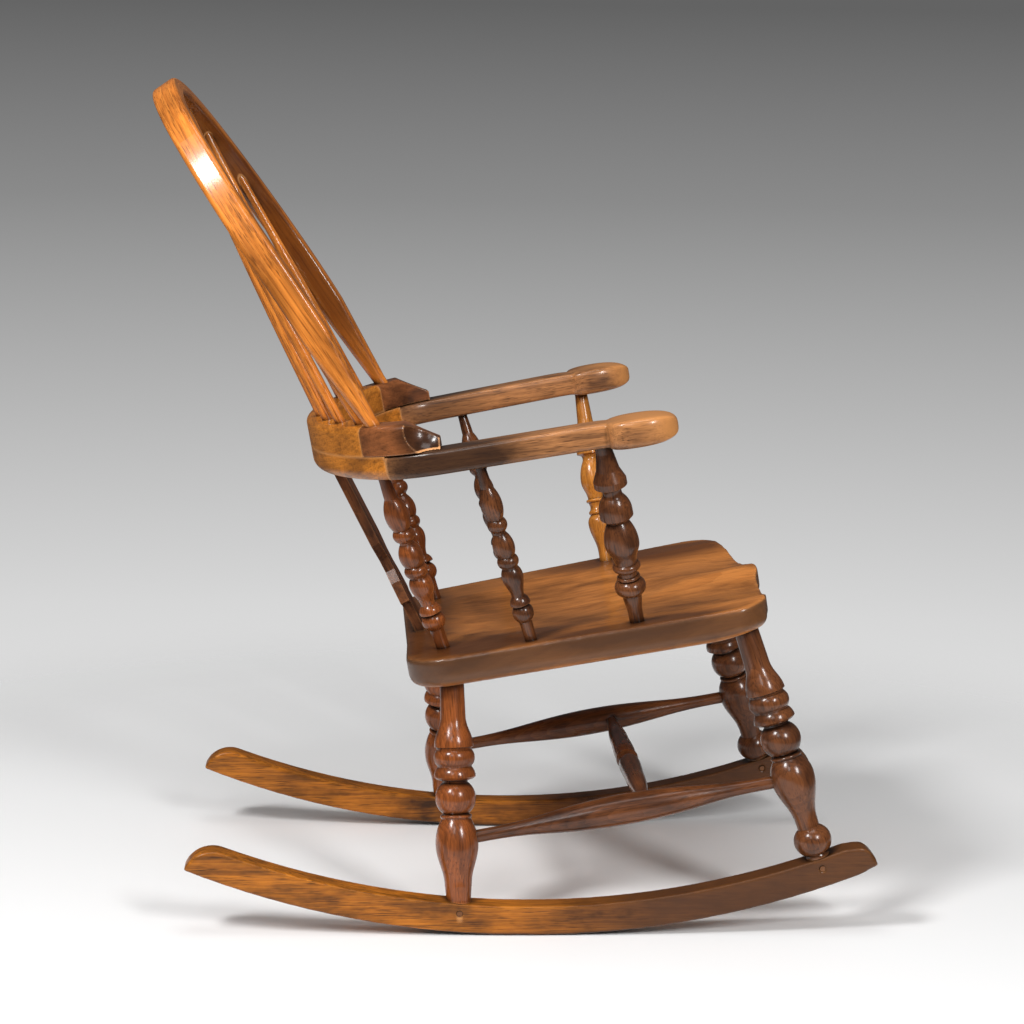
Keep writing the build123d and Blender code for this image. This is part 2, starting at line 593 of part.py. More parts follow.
def crest_dowels():
    return Compound(children=[rod(*crest_dowel_line(side * angle), DOWEL_RADIUS)
                              for side in (-1, 1) for angle in CREST_DOWEL_ANGLES])


def cut_crest_dowels(piece):
    for side in (-1, 1):
        for angle in CREST_DOWEL_ANGLES:
            first, last = crest_dowel_line(side * angle)
            room = Vector(0, 0, SOCKET_END_ROOM)
            piece = piece - rod(first - room, last + room, DOWEL_RADIUS + GLUE_LINE)
    return piece


def back_rail():
    middle = bow_band(-SHOULDER_ANGLE, SHOULDER_ANGLE, BOW_WIDTH, ARM_UNDERSIDE_Z, ARM_THICKNESS)
    joint = RAIL_JOINT_ANGLE - degrees(GLUE_LINE / SHOULDER_RADIUS)
    for side in (-1, 1):
        middle = middle + bow_band(side * SHOULDER_ANGLE, side * joint, BOW_WIDTH, ARM_UNDERSIDE_Z, ARM_THICKNESS)
    lower = middle.faces().sort_by(Axis.Z)[0].edges().filter_by(GeomType.CIRCLE)
    outer = lower.filter_by(lambda e: min(abs(e.radius - BOW_RADIUS), abs(e.radius - SHOULDER_RADIUS)) < GLUE_LINE)
    rail = fillet(outer, RAIL_LOWER_ROUND)
    for side in (-1, 1):
        rail = cut_post_tops(rail, side)
        rail = cut_arm_dowels(rail, side)
    rail = cut_crest_dowels(rail)
    return rail - splat_mortises()


def arm_band(side):
    """The arm's plain bar, from the joint with the rail to the middle of the hand pad."""
    outer = bow_edge(side * RAIL_JOINT_ANGLE, side * ARM_ANGLE, 0)
    inner = bow_edge(side * RAIL_JOINT_ANGLE, side * ARM_ANGLE, BOW_WIDTH)
    run = ((outer @ 1).Y - PAD_Y) / sin(radians(ARM_ANGLE))
    forward = Vector(side * cos(radians(ARM_ANGLE)), -sin(radians(ARM_ANGLE)), 0) * run
    outer_end, inner_end = outer @ 1 + forward, inner @ 1 + forward
    outline = Curve() + [outer, Line(outer @ 1, outer_end), Line(outer_end, inner_end),
                         Line(inner_end, inner @ 1), inner, Line(inner @ 0, outer @ 0)]
    return Pos(0, 0, ARM_UNDERSIDE_Z) * extrude(make_face(outline), ARM_THICKNESS)


def long_edges(face):
    """The edges that run along the arm, not those across its two ends."""
    return face.edges().filter_by(lambda edge: edge.length > BOW_WIDTH + OVERLAP)


def arm(side):
    bar = arm_band(side)
    bar = fillet(long_edges(bar.faces().sort_by(Axis.Z)[0]), ARM_LOWER_ROUND)
    bar = fillet(long_edges(bar.faces().sort_by(Axis.Z)[-1]), ARM_TOP_ROUND)
    piece = cut_post_tops(bar + hand_pad(side), side)
    return cut_crest_dowels(cut_arm_dowels(piece, side))


def hand_pad(side):
    height = ARM_THICKNESS + PAD_PROUD
    pad = extrude(Ellipse(PAD_HALF_WIDTH, PAD_HALF_LENGTH).face(), height)
    pad = fillet(pad.edges().sort_by(Axis.Z)[-1], PAD_TOP_ROUND)
    pad = fillet(pad.edges().sort_by(Axis.Z)[0], PAD_LOWER_ROUND)
    return Pos(side * (arm_middle_x(PAD_Y) + PAD_OUTSET), PAD_Y, ARM_UNDERSIDE_Z - PAD_PROUD) * pad


# ---------------------------------------------------------------- crest block
def crest_slope(side):
    """The block above the slope that runs down to the toe of the crest's end."""
    turn, slope = radians(CREST_END_ANGLE), radians(CREST_SLOPE)
    forward = Vector(side * cos(turn), -sin(turn), 0)
    toe = on_bow(side * CREST_END_ANGLE, CREST_WIDTH / 2, CREST_BASE_Z + CREST_TOE_HEIGHT)
    plane = Plane(origin=toe, x_dir=forward * cos(slope) - Vector(0, 0, sin(slope)),
                  z_dir=forward * sin(slope) + Vector(0, 0, cos(slope)))
    return plane * Box(4 * CREST_HEIGHT, 4 * CREST_WIDTH, 2 * CREST_HEIGHT, align=(Align.CENTER, Align.CENTER, Align.MIN))


def crest_end(side):
    joint = SHOULDER_ANGLE + degrees(GLUE_LINE / SHOULDER_RADIUS)
    block = bow_band(side * joint, side * CREST_END_ANGLE, CREST_WIDTH, CREST_BASE_Z, CREST_HEIGHT)
    top = block.faces().sort_by(Axis.Z)[-1].edges().filter_by(GeomType.CIRCLE)
    scoop = on_bow(side * SCOOP_ANGLE, -SCOOP_PROUD, CREST_BASE_Z + SCOOP_Z)
    block = fillet(top, CREST_TOP_ROUND) - crest_slope(side) - Pos(scoop.X, scoop.Y, scoop.Z) * Sphere(SCOOP_RADIUS)
    block = cut_crest_dowels(block)
    return block - hoop_foot_sockets()


def crest_middle():
    block = bow_band(-SHOULDER_ANGLE, SHOULDER_ANGLE, CREST_WIDTH, CREST_BASE_Z, CREST_HEIGHT)
    top = block.faces().sort_by(Axis.Z)[-1].edges().filter_by(GeomType.CIRCLE)
    block = cut_crest_dowels(fillet(top, CREST_TOP_ROUND))
    for number in range(1, STICKS_PER_SIDE + 1):
        for side in (-1, 1):
            foot, tip = stick_line(side, number)
            block = block - socket(tip, beyond(tip, foot, STICK_SOCKET_DEPTH), STICK_FOOT_RADIUS)
    return block


# ---------------------------------------------------------------- hoop
def hoop_foot(side):
    """The middle of a foot on the crest's top, before the hoop is turned."""
    return on_bow(side * HOOP_FOOT_ANGLE, CREST_WIDTH / 2, CREST_TOP_Z)


def hoop_turn():
    """The hoop is made square to the chair, then turned a little about an upright line between its feet."""
    middle = hoop_foot(1).Y
    return Pos(0, middle, 0) * Rot(0, 0, -HOOP_TWIST) * Pos(0, -middle, 0)


def leaning(lean):
    """The direction up the back at a lean, in degrees from upright."""
    return Vector(0, sin(radians(lean)), cos(radians(lean)))


def hoop_section():
    """The hoop's section: across, then front to back."""
    return RectangleRounded(HOOP_WIDTH, HOOP_DEPTH, HOOP_EDGE)


def bend_pivot():
    """The line about which the sides are bent back lies behind the chair, at this height and distance."""
    start = hoop_foot(1) + leaning(HOOP_LOWER_LEAN) * HOOP_STRAIGHT
    radius = HOOP_BEND_LENGTH / radians(HOOP_UPPER_LEAN - HOOP_LOWER_LEAN)
    out = Vector(0, cos(radians(HOOP_LOWER_LEAN)), -sin(radians(HOOP_LOWER_LEAN)))
    return start + out * radius


def hoop_spring(side):
    """Where the arch begins, at the top of a side."""
    pivot = bend_pivot()
    radius = HOOP_BEND_LENGTH / radians(HOOP_UPPER_LEAN - HOOP_LOWER_LEAN)
    back = Vector(0, -cos(radians(HOOP_UPPER_LEAN)), sin(radians(HOOP_UPPER_LEAN)))
    point = pivot + back * radius
    return Vector(side * hoop_foot(1).X, point.Y, point.Z)


def arch_sizes():
    """The two-radius arch: crown radius and centre height, side radius and the angle where they meet."""
    half_span, height, crown = hoop_foot(1).X, HOOP_ARCH_HEIGHT, HOOP_CROWN_RADIUS
    side_radius = (half_span ** 2 + (height - crown) ** 2 - crown ** 2) / (2 * (half_span - crown))
    meet = atan2(height - crown, side_radius - half_span)
    return half_span, height - crown, crown, side_radius, meet


def arch_plane():
    """Plane of the arch: its x runs across the chair and its y up the back."""
    spring = hoop_spring(1)
    return Plane(origin=(0, spring.Y, spring.Z), x_dir=(1, 0, 0), z_dir=Vector(1, 0, 0).cross(leaning(HOOP_UPPER_LEAN)))


def arch_point(x):
    """The point of the turned arch's middle line at x across the hoop."""
    half_span, centre_height, crown, side_radius, meet = arch_sizes()
    if abs(x) <= crown * cos(meet):
        height = centre_height + sqrt(crown ** 2 - x ** 2)
    else:
        height = sqrt(side_radius ** 2 - (abs(x) + side_radius - half_span) ** 2)
    point = arch_plane().from_local_coords(Vector(x, height, 0))
    return (hoop_turn() * Pos(point.X, point.Y, point.Z)).position


def hoop_side(side):
    """A side of the hoop: taper from the round foot to the full section, straight and bend."""
    foot = hoop_foot(side)
    up = leaning(HOOP_LOWER_LEAN)
    neck = Plane(origin=foot + up * HOOP_FOOT_NECK, x_dir=(1, 0, 0), z_dir=up)
    full = Plane(origin=foot + up * HOOP_FOOT_TAPER, x_dir=(1, 0, 0), z_dir=up)
    foot_width = 2 * HOOP_FOOT_RADIUS
    taper = loft([neck * RectangleRounded(foot_width, foot_width, HOOP_FOOT_RADIUS - GLUE_LINE), full * hoop_section()])
    straight = extrude(full * hoop_section(), HOOP_STRAIGHT - HOOP_FOOT_TAPER, dir=up)
    bend_start = Plane(origin=foot + up * HOOP_STRAIGHT, x_dir=(1, 0, 0), z_dir=up)
    pivot = bend_pivot()
    bend = revolve(bend_start * hoop_section(), Axis((0, pivot.Y, pivot.Z), (-1, 0, 0)),
                   HOOP_UPPER_LEAN - HOOP_LOWER_LEAN)
    return taper + straight + bend + rod(*hoop_foot_line(side), HOOP_FOOT_RADIUS)


def hoop_arch():
    """The arch in its own plane, as two side arcs and a crown arc that run into each other."""
    half_span, centre_height, crown, side_radius, meet = arch_sizes()
    plane = arch_plane()
    section = hoop_section()
    turned = []
    for side in (-1, 1):
        start = Plane(origin=(side * half_span, 0, 0), x_dir=(side, 0, 0), z_dir=(0, 1, 0))
        centre_x = -side * (side_radius - half_span)
        turned.append(revolve(start * section, Axis((centre_x, 0, 0), (0, 0, side)), degrees(meet)))
    crown_start = Plane(origin=(crown * cos(meet), centre_height + crown * sin(meet), 0),
                        x_dir=(cos(meet), sin(meet), 0), z_dir=(-sin(meet), cos(meet), 0))
    turned.append(revolve(crown_start * section, Axis((0, centre_height, 0), (0, 0, 1)), 180 - 2 * degrees(meet)))
    return plane * (turned[0] + turned[1] + turned[2])


def hoop_foot_line(side):
    """The axis of the plain round foot, before the hoop is turned."""
    foot = hoop_foot(side)
    up = leaning(HOOP_LOWER_LEAN)
    return foot + up * HOOP_FOOT_NECK, foot - up * HOOP_SOCKET_DEPTH


def hoop_foot_sockets():
    holes = [socket(*hoop_foot_line(side), HOOP_FOOT_RADIUS) for side in (-1, 1)]
    return hoop_turn() * (holes[0] + holes[1])


def hoop():
    bow = hoop_turn() * (hoop_arch() + hoop_side(-1) + hoop_side(1))
    for side in (-1, 1):
        for number in range(1, STICKS_PER_SIDE + 1):
            foot, tip = stick_line(side, number)
            bow = bow - socket(beyond(tip, foot, -HOOP_WIDTH - CLEAR), tip, STICK_TOP_RADIUS)
    return bow


# ---------------------------------------------------------------- sticks
def stick_line(side, number):
    """The axis of a back stick, from the top of the crest to the middle of the hoop's section."""
    foot = on_bow(side * STICK_SPACING_ANGLE * (number - 0.5), CREST_WIDTH / 2, CREST_TOP_Z)
    return foot, arch_point(foot.X * STICK_TOP_SPREAD)


def stick(side, number):
    foot, tip = stick_line(side, number)
    low = beyond(tip, foot, STICK_SOCKET_DEPTH)
    length = (tip - low).length
    plain_foot = STICK_SOCKET_DEPTH + STICK_NECK
    steps = [("line", plain_foot, STICK_FOOT_RADIUS), ("ogee", STICK_SWELL_RUN, STICK_SWELL_RADIUS),
             ("ogee", length - plain_foot - STICK_SWELL_RUN - STICK_PLAIN_TOP, STICK_TOP_RADIUS),
             ("line", STICK_PLAIN_TOP, STICK_TOP_RADIUS)]
    return set_on(low, tip, turning(STICK_FOOT_RADIUS, steps, length))


# ---------------------------------------------------------------- lower splat
def splat_line():
    """The splat's middle line, from the seat to the underside of the rail."""
    foot = Vector(0, SPLAT_FOOT_Y, 0)
    return foot, on_bow(0, BOW_WIDTH * 0.6, ARM_UNDERSIDE_Z)


def splat_plane():
    foot, top = splat_line()
    up = (top - foot).normalized()
    return Plane(origin=foot, x_dir=(1, 0, 0), z_dir=Vector(1, 0, 0).cross(up)), (top - foot).length


def splat():
    plane, length = splat_plane()
    (foot_width, foot_up), (top_width, top_up) = SPLAT_HALF_OUTLINE[0], SPLAT_HALF_OUTLINE[-1]
    half = [(foot_width, foot_up - CLEAR), *SPLAT_HALF_OUTLINE, (top_width, top_up + CLEAR)]
    outline = Polyline(half + [(-x, y) for x, y in reversed(half)], close=True)
    board = plane * extrude(make_face(outline), SPLAT_THICKNESS / 2, both=True)
    between = Pos(0, 0, ARM_UNDERSIDE_Z / 2) * Box(BENCH, BENCH, ARM_UNDERSIDE_Z - 2 * GLUE_LINE)
    return (board & between) + splat_tenons(0.0, 0.0)


def splat_tenons(side_room, end_room):
    """The splat's middle strip, which runs on into the seat and the rail."""
    plane, length = splat_plane()
    strip = Rectangle(2 * (SPLAT_TENON_HALF_WIDTH + side_room), length + 2 * (SPLAT_TENON + end_room))
    return plane * (Pos(0, length / 2, 0) * extrude(strip, SPLAT_THICKNESS / 2 + side_room, both=True))


def splat_mortises():
    return splat_tenons(GLUE_LINE, SOCKET_END_ROOM)


# ---------------------------------------------------------------- the whole chair
def pieces():
    chair = {"seat": seat(), "back_rail": back_rail(), "crest_middle": crest_middle(), "hoop": hoop(),
             "lower_splat": splat(), "centre_stretcher": centre_stretcher(), "rocker_pegs": rocker_pegs(),
             "arm_dowels": arm_dowels(), "crest_dowels": crest_dowels()}
    for side, hand in ((-1, "right"), (1, "left")):
        chair["arm_" + hand] = arm(side)
        chair["crest_end_" + hand] = crest_end(side)
        chair["rocker_" + hand] = rocker(side)
        chair["side_stretcher_" + hand] = side_stretcher(side)
        chair["front_leg_" + hand] = leg(side, FRONT_LEG_TOP, FRONT_FOOT_Y, "ball")
        chair["back_leg_" + hand] = leg(side, BACK_LEG_TOP, BACK_FOOT_Y, "plain")
        for name, line, radii, steps in posts(side):
            chair[name] = post(line, radii, steps)
        for number in range(1, STICKS_PER_SIDE + 1):
            chair["stick_" + hand + "_" + str(number)] = stick(side, number)
    return chair


def resting_tilt(chair):
    """How far the chair tips back until its mass is straight below the rockers' centre, in degrees."""
    mass = sum(piece.volume for piece in chair.values())
    y = sum(piece.volume * piece.center(CenterOf.MASS).Y for piece in chair.values()) / mass
    z = sum(piece.volume * piece.center(CenterOf.MASS).Z for piece in chair.values()) / mass
    return degrees(atan2(y - ROCKER_CENTRE_Y, ROCKER_CENTRE_Z - z))


def placed(chair):
    """The pieces tipped back to rest, with the footprint centred on the origin and the floor at z = 0."""
    tilt = resting_tilt(chair)
    print("tips back", round(tilt, 3), "degrees")
    tipped = {name: Rot(-tilt, 0, 0) * piece for name, piece in chair.items()}
    boxes = [piece.bounding_box() for piece in tipped.values()]
    centre_y = (min(box.min.Y for box in boxes) + max(box.max.Y for box in boxes)) / 2
    floor_z = min(box.min.Z for box in boxes)
    print("moves", round(-centre_y, 3), round(-floor_z, 3))
    return {name: Pos(0, -centre_y, -floor_z) * piece for name, piece in tipped.items()}


def main():
    os.makedirs("parts", exist_ok=True)
    for name, piece in placed(pieces()).items():
        export_step(piece, os.path.join("parts", name + ".step"))


main()
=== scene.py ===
"""A Windsor rocking chair in polished elm, ash and beech, dressed over its solids."""

import math

import bpy
from mathutils import Matrix, Vector


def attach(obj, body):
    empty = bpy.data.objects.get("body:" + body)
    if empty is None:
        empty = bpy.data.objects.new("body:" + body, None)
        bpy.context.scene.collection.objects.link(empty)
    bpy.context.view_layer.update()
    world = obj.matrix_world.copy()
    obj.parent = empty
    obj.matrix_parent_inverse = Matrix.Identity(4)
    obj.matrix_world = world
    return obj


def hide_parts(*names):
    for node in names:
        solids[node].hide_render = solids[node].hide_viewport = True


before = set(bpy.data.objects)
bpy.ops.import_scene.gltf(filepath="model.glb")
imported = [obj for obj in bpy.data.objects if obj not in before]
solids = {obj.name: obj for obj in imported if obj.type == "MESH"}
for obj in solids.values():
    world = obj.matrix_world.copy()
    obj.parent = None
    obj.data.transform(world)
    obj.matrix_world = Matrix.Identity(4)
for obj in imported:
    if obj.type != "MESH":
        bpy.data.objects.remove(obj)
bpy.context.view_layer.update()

MM = 0.001
# the chair is made level on the bench, in mm about the seat, then tips back on its rockers
TIP_BACK = math.radians(-10.852)
BENCH_ZERO = (0, -0.058075, 0.366635)
ON_FLOOR = Matrix.Translation(BENCH_ZERO) @ Matrix.Rotation(TIP_BACK, 4, "X")
OFF_FLOOR = ON_FLOOR.inverted()
# the sitter's right hand is on the side of negative x
SIDES = ((-1, "right"), (1, "left"))


# ---------------------------------------------------------------- small tools
def linear(code):
    """An sRGB hex colour as linear red, green, blue and alpha."""
    parts = [int(code[i:i + 2], 16) / 255 for i in (1, 3, 5)]
    return [c / 12.92 if c <= 0.04045 else ((c + 0.055) / 1.055) ** 2.4 for c in parts] + [1]


def add(tree, kind, inputs=None, **settings):
    """Adds a node to a tree, sets it up and links or fills its inputs."""
    node = tree.nodes.new(kind)
    for key, value in settings.items():
        setattr(node, key, value)
    for key, value in (inputs or {}).items():
        if isinstance(value, bpy.types.NodeSocket):
            tree.links.new(value, node.inputs[key])
        else:
            node.inputs[key].default_value = value
    return node


def on_side(side, *places):
    """Places given for the left side, brought to the side asked for."""
    return [(side * x, y, z) for x, y, z in places]


def only(piece):
    """Selects one piece and nothing else."""
    bpy.ops.object.select_all(action="DESELECT")
    piece.select_set(True)
    bpy.context.view_layer.objects.active = piece


def finish_with(piece, kind, **settings):
    """Adds a modifier and applies it."""
    only(piece)
    modifier = piece.modifiers.new(kind.lower(), kind)
    for key, value in settings.items():
        setattr(modifier, key, value)
    bpy.ops.object.modifier_apply(modifier=modifier.name)


def pick(piece, test):
    """In edit mode, selects the vertices whose place passes the test."""
    bpy.ops.mesh.select_all(action="DESELECT")
    bpy.ops.object.mode_set(mode="OBJECT")
    for vertex in piece.data.vertices:
        vertex.select = test(vertex.co)
    bpy.ops.object.mode_set(mode="EDIT")


# ---------------------------------------------------------------- stage, lamps and camera
FLOOR_RADIUS = 2.6
# how far out the floor's paper starts to fade and is gone, in metres
FADE_STARTS, FADE_ENDS = 0.7, 1.7
# slopes of sight between which the backdrop runs from its lowest tone to its highest
DROP_LOW, DROP_HIGH = -0.36, 0.04
DROP_TONES = ((0.02, "#d4d4d4"), (0.20, "#e6e6e6"), (0.39, "#d7d7d7"), (0.59, "#b5b5b5"),
              (0.79, "#8a8a8a"), (0.98, "#636363"))
# the room behind the lamps is dim, and less of it still shows in the polish
ROOM_LIGHT, ROOM_SHINE = 0.18, 0.06
LENS = 87.89
CAMERA_PLACE = (-3.1613, 0.2102, 1.0222)
CAMERA_FORWARD = Vector((0.98358, -0.0671, -0.16756))
CAMERA_UP = Vector((0.16852, 0.0089, 0.98566))
# name, place, target, width, height and power in watts
SOFTBOXES = (("softbox_above", (-0.4, 0.1, 2.9), (0, 0, 0.4), 1.2, 1.2, 14),
             ("softbox_left", (-1.55, 1.80, 2.70), (-0.1, 0.3, 0.85), 0.6, 0.75, 74),
             ("softbox_front", (-2.5, 0.9, 2.2), (0, 0, 0.45), 0.6, 0.9, 9),
             ("softbox_right", (-2.3, -1.2, 1.9), (0, -0.1, 0.4), 0.45, 0.9, 44))


def lay_floor():
    """A pale round floor that fades into the backdrop."""
    bpy.ops.object.select_all(action="DESELECT")
    bpy.ops.mesh.primitive_circle_add(vertices=96, radius=FLOOR_RADIUS, fill_type="NGON")
    floor = bpy.context.object
    floor.name = "floor"
    # matt paper: no shine, so that the chair's shadow lies on it softly
    paper = bpy.data.materials.new("pale_paper")
    paper.use_nodes = True
    tree = paper.node_tree
    tree.nodes.clear()
    place = add(tree, "ShaderNodeTexCoord")
    reach = add(tree, "ShaderNodeVectorMath", {0: place.outputs["Object"]}, operation="LENGTH")
    fade = add(tree, "ShaderNodeMapRange",
               {"Value": reach.outputs["Value"], "From Min": FADE_STARTS, "From Max": FADE_ENDS},
               interpolation_type="SMOOTHERSTEP")
    surface = add(tree, "ShaderNodeBsdfDiffuse", {"Color": linear("#f2f2f2")})
    clear = add(tree, "ShaderNodeBsdfTransparent")
    mix = add(tree, "ShaderNodeMixShader",
              {0: fade.outputs["Result"], 1: surface.outputs[0], 2: clear.outputs[0]})
    add(tree, "ShaderNodeOutputMaterial", {"Surface": mix.outputs[0]})
    floor.data.materials.append(paper)


def hang_backdrop():
    """A grey backdrop, dark above and pale below, and the even light of the room."""
    world = bpy.data.worlds.new("studio")
    bpy.context.scene.world = world
    world.use_nodes = True
    tree = world.node_tree
    tree.nodes.clear()
    place = add(tree, "ShaderNodeTexCoord")
    height = add(tree, "ShaderNodeSeparateXYZ", {0: place.outputs["Generated"]})
    share = add(tree, "ShaderNodeMapRange",
                {"Value": height.outputs["Z"], "From Min": DROP_LOW, "From Max": DROP_HIGH})
    ramp = add(tree, "ShaderNodeValToRGB", {0: share.outputs["Result"]})
    # a new ramp has its first and last stop already
    for position, _ in DROP_TONES[1:-1]:
        ramp.color_ramp.elements.new(position)
    for element, (position, code) in zip(ramp.color_ramp.elements, DROP_TONES):
        element.position = position
        element.color = linear(code)
    ray = add(tree, "ShaderNodeLightPath")
    level = add(tree, "ShaderNodeMapRange",
                {"Value": ray.outputs["Is Glossy Ray"], "To Min": ROOM_LIGHT, "To Max": ROOM_SHINE})
    room = add(tree, "ShaderNodeBackground", {"Color": linear("#ffffff"), "Strength": level.outputs[0]})
    drop = add(tree, "ShaderNodeBackground", {"Color": ramp.outputs["Color"], "Strength": 1.0})
    mix = add(tree, "ShaderNodeMixShader",
              {0: ray.outputs["Is Camera Ray"], 1: room.outputs[0], 2: drop.outputs[0]})
    add(tree, "ShaderNodeOutputWorld", {"Surface": mix.outputs[0]})


def hang_lamp(name, place, target, width, height, power):
    """A softbox at a place, turned to face a target."""
    lamp = bpy.data.lights.new(name, "AREA")
    lamp.shape = "RECTANGLE"
    lamp.size = width
    lamp.size_y = height
    lamp.energy = power
    holder = bpy.data.objects.new(name, lamp)
    bpy.context.scene.collection.objects.link(holder)
    holder.location = place
    holder.rotation_euler = (Vector(target) - Vector(place)).to_track_quat("-Z", "Y").to_euler()


def set_camera():
    """The camera at the chair's right hand, a little above the arms."""
    camera = bpy.data.cameras.new("camera")
    camera.sensor_width = 36
    camera.lens = LENS
    holder = bpy.data.objects.new("camera", camera)
    bpy.context.scene.collection.objects.link(holder)
    axes = Matrix((CAMERA_FORWARD.cross(CAMERA_UP), CAMERA_UP, -CAMERA_FORWARD)).transposed()
    holder.matrix_world = Matrix.Translation(CAMERA_PLACE) @ axes.to_4x4()
    bpy.context.scene.camera = holder


set_camera()
lay_floor()
hang_backdrop()
for softbox in SOFTBOXES:
    hang_lamp(*softbox)
bpy.context.scene.view_settings.view_transform = "Standard"


# ---------------------------------------------------------------- polished woods
# Each finish: light and dark tone of the growth rings, the streaks' tone, the tone of dirt and painted shade
# in corners and the tone of rubbed edges; ring spacing in mm; how strong rings, streaks, blotches, dirt with
# painted shade and wear are; how far in from an edge the wear reaches in mm; roughness; weight of the
# polish.

# steamed ash under old shellac: honey brown, open dark pores, and the wettest shine on the chair
ASH = {"light": "#f1933c", "dark": "#b75c18", "streak": "#401a06", "dirt_and_shade": "#1a0a04", "worn": "#f2b070",
       "ring": 7.0, "rings": 0.5, "streaks": 0.7, "blotches": 0.55, "dirt_and_shade_strength": 1.0, "rubbed": 0.5,
       "edge": 2.5, "rough": 0.28, "polish": 0.6}
# an elm board waxed and sat on: wide soft figure, cloudy brown, half dull, pale where its edges are rubbed
ELM_SEAT = {"light": "#cf8340", "dark": "#a25a22", "streak": "#3f200f", "dirt_and_shade": "#1e0e06", "worn": "#e0a26a",
            "ring": 9.0, "rings": 0.35, "streaks": 0.35, "blotches": 0.7, "dirt_and_shade_strength": 0.9, "rubbed": 0.8,
            "edge": 7.0, "rough": 0.34, "polish": 0.4}
# sawn elm of the rail and crest: golden, with dark clouds and plain rings
ELM_BOW = {"light": "#d8862f", "dark": "#ab621c", "streak": "#3c1c0a", "dirt_and_shade": "#1e0e06", "worn": "#e0a066",
           "ring": 6.0, "rings": 0.45, "streaks": 0.6, "blotches": 0.75, "dirt_and_shade_strength": 0.9, "rubbed": 0.6,
           "edge": 5.0, "rough": 0.3, "polish": 0.4}
# the same elm where hands lie: greyer, more streaked and more rubbed
ELM_ARM = {**ELM_BOW, "light": "#bd8150", "dark": "#8e5c38", "streak": "#33201a", "streaks": 0.75,
           "rubbed": 0.7}
# carved elm of the crest ends: dark reddish brown, with a bright rim that is part rubbed wear and part
# painted highlight
ELM_CREST_END = {"light": "#9a5c34", "dark": "#704020", "streak": "#2c180e", "dirt_and_shade": "#180b06",
                 "worn": "#e0a06a", "ring": 6.0, "rings": 0.4, "streaks": 0.5, "blotches": 0.8,
                 "dirt_and_shade_strength": 0.9, "rubbed": 1.0, "edge": 3.0, "rough": 0.3, "polish": 0.4}
# turned beech, stained and polished on the lathe: fine grain, nearly black in the hollows with dirt and
# painted shade, small hot glints
BEECH_DARK = {"light": "#7a4828", "dark": "#4a2a18", "streak": "#22100a", "dirt_and_shade": "#0c0503",
              "worn": "#b07a50", "ring": 3.0, "rings": 0.5, "streaks": 0.7, "blotches": 0.85, "dirt_and_shade_strength": 1.0,
              "rubbed": 0.35, "edge": 2.5, "rough": 0.26, "polish": 0.5}
# the splat's flat face was never polished so well, and stays dull
BEECH_SPLAT = {**BEECH_DARK, "rough": 0.42, "polish": 0.15}
# the back legs and posts took less stain: a warm red brown
BEECH_WARM = {"light": "#9a5428", "dark": "#643214", "streak": "#281006", "dirt_and_shade": "#120602",
              "worn": "#c8844c", "ring": 3.0, "rings": 0.5, "streaks": 0.65, "blotches": 0.75, "dirt_and_shade_strength": 1.0,
              "rubbed": 0.35, "edge": 2.5, "rough": 0.26, "polish": 0.5}
# the odd front post took no stain: clear yellow brown
BEECH_LIGHT = {"light": "#c88236", "dark": "#a86420", "streak": "#4e260c", "dirt_and_shade": "#241004",
               "worn": "#e2a866", "ring": 3.0, "rings": 0.6, "streaks": 0.5, "blotches": 0.5, "dirt_and_shade_strength": 1.0,
               "rubbed": 0.3, "edge": 2.5, "rough": 0.28, "polish": 0.5}
# sawn ash of the rockers, kicked and dragged: dull, blotched with old dirt, orange where it is clean
ASH_ROCKER = {"light": "#c4761f", "dark": "#95500e", "streak": "#2c1606", "dirt_and_shade": "#160b05",
              "worn": "#d8985a", "ring": 5.0, "rings": 0.6, "streaks": 0.8, "blotches": 0.95, "dirt_and_shade_strength": 0.9,
              "rubbed": 0.7, "edge": 4.0, "rough": 0.4, "polish": 0.25}
# riven oak pegs: close rings on their ends, flush with the old polish
OAK_PEG = {"light": "#84522a", "dark": "#623a1a", "streak": "#2c1606", "dirt_and_shade": "#100703", "worn": "#80502a",
           "ring": 1.5, "rings": 0.7, "streaks": 0.5, "blotches": 0.4, "dirt_and_shade_strength": 0.9, "rubbed": 0.3,
           "edge": 1.0, "rough": 0.35, "polish": 0.4}

# marks in the wood, in mm across and along the grain
PORE = (1.3, 26)
STREAK = (6, 150)
BLOTCH = (38, 90)
# a wave texture of this scale has one ring to a unit; a ring stays the same for nine widths along the grain
RING_SCALE = 0.314
RING_RUN = 9
# how far off, in mm, a wall still darkens a corner with dirt and painted shade, and how deep the pores are
# at most
DIRT_AND_SHADE_REACH = 10
RELIEF = 0.25

# the hoop's own plane: where its origin lies on the chair, in metres, and its axes as columns, which run
# across, up the back and out of it
HOOP_PLACE = (0.0043, 0.3299, 0.8631)
HOOP_AXES = Matrix(((0.9993, 0.0158, -0.035), (-0.0377, 0.5741, -0.8179), (0.0072, 0.8187, 0.5742)))
# the crown is one round arc about that origin. Each side is a wider arc about a centre beyond the middle,
# and below that centre it runs straight. The crown takes over where the bend has turned so far, in radians
CROWN_RADIUS = 0.176
CROWN_TURN = 0.6397
SIDE_CENTRE = (-0.1129, -0.084)
SIDE_RADIUS = 0.3167
# how far in from the hoop's middle line, in mm, the darkening of its inner face, old polish and painted
# shade, starts and is full
INNER_STARTS, INNER_ENDS = -7, -12


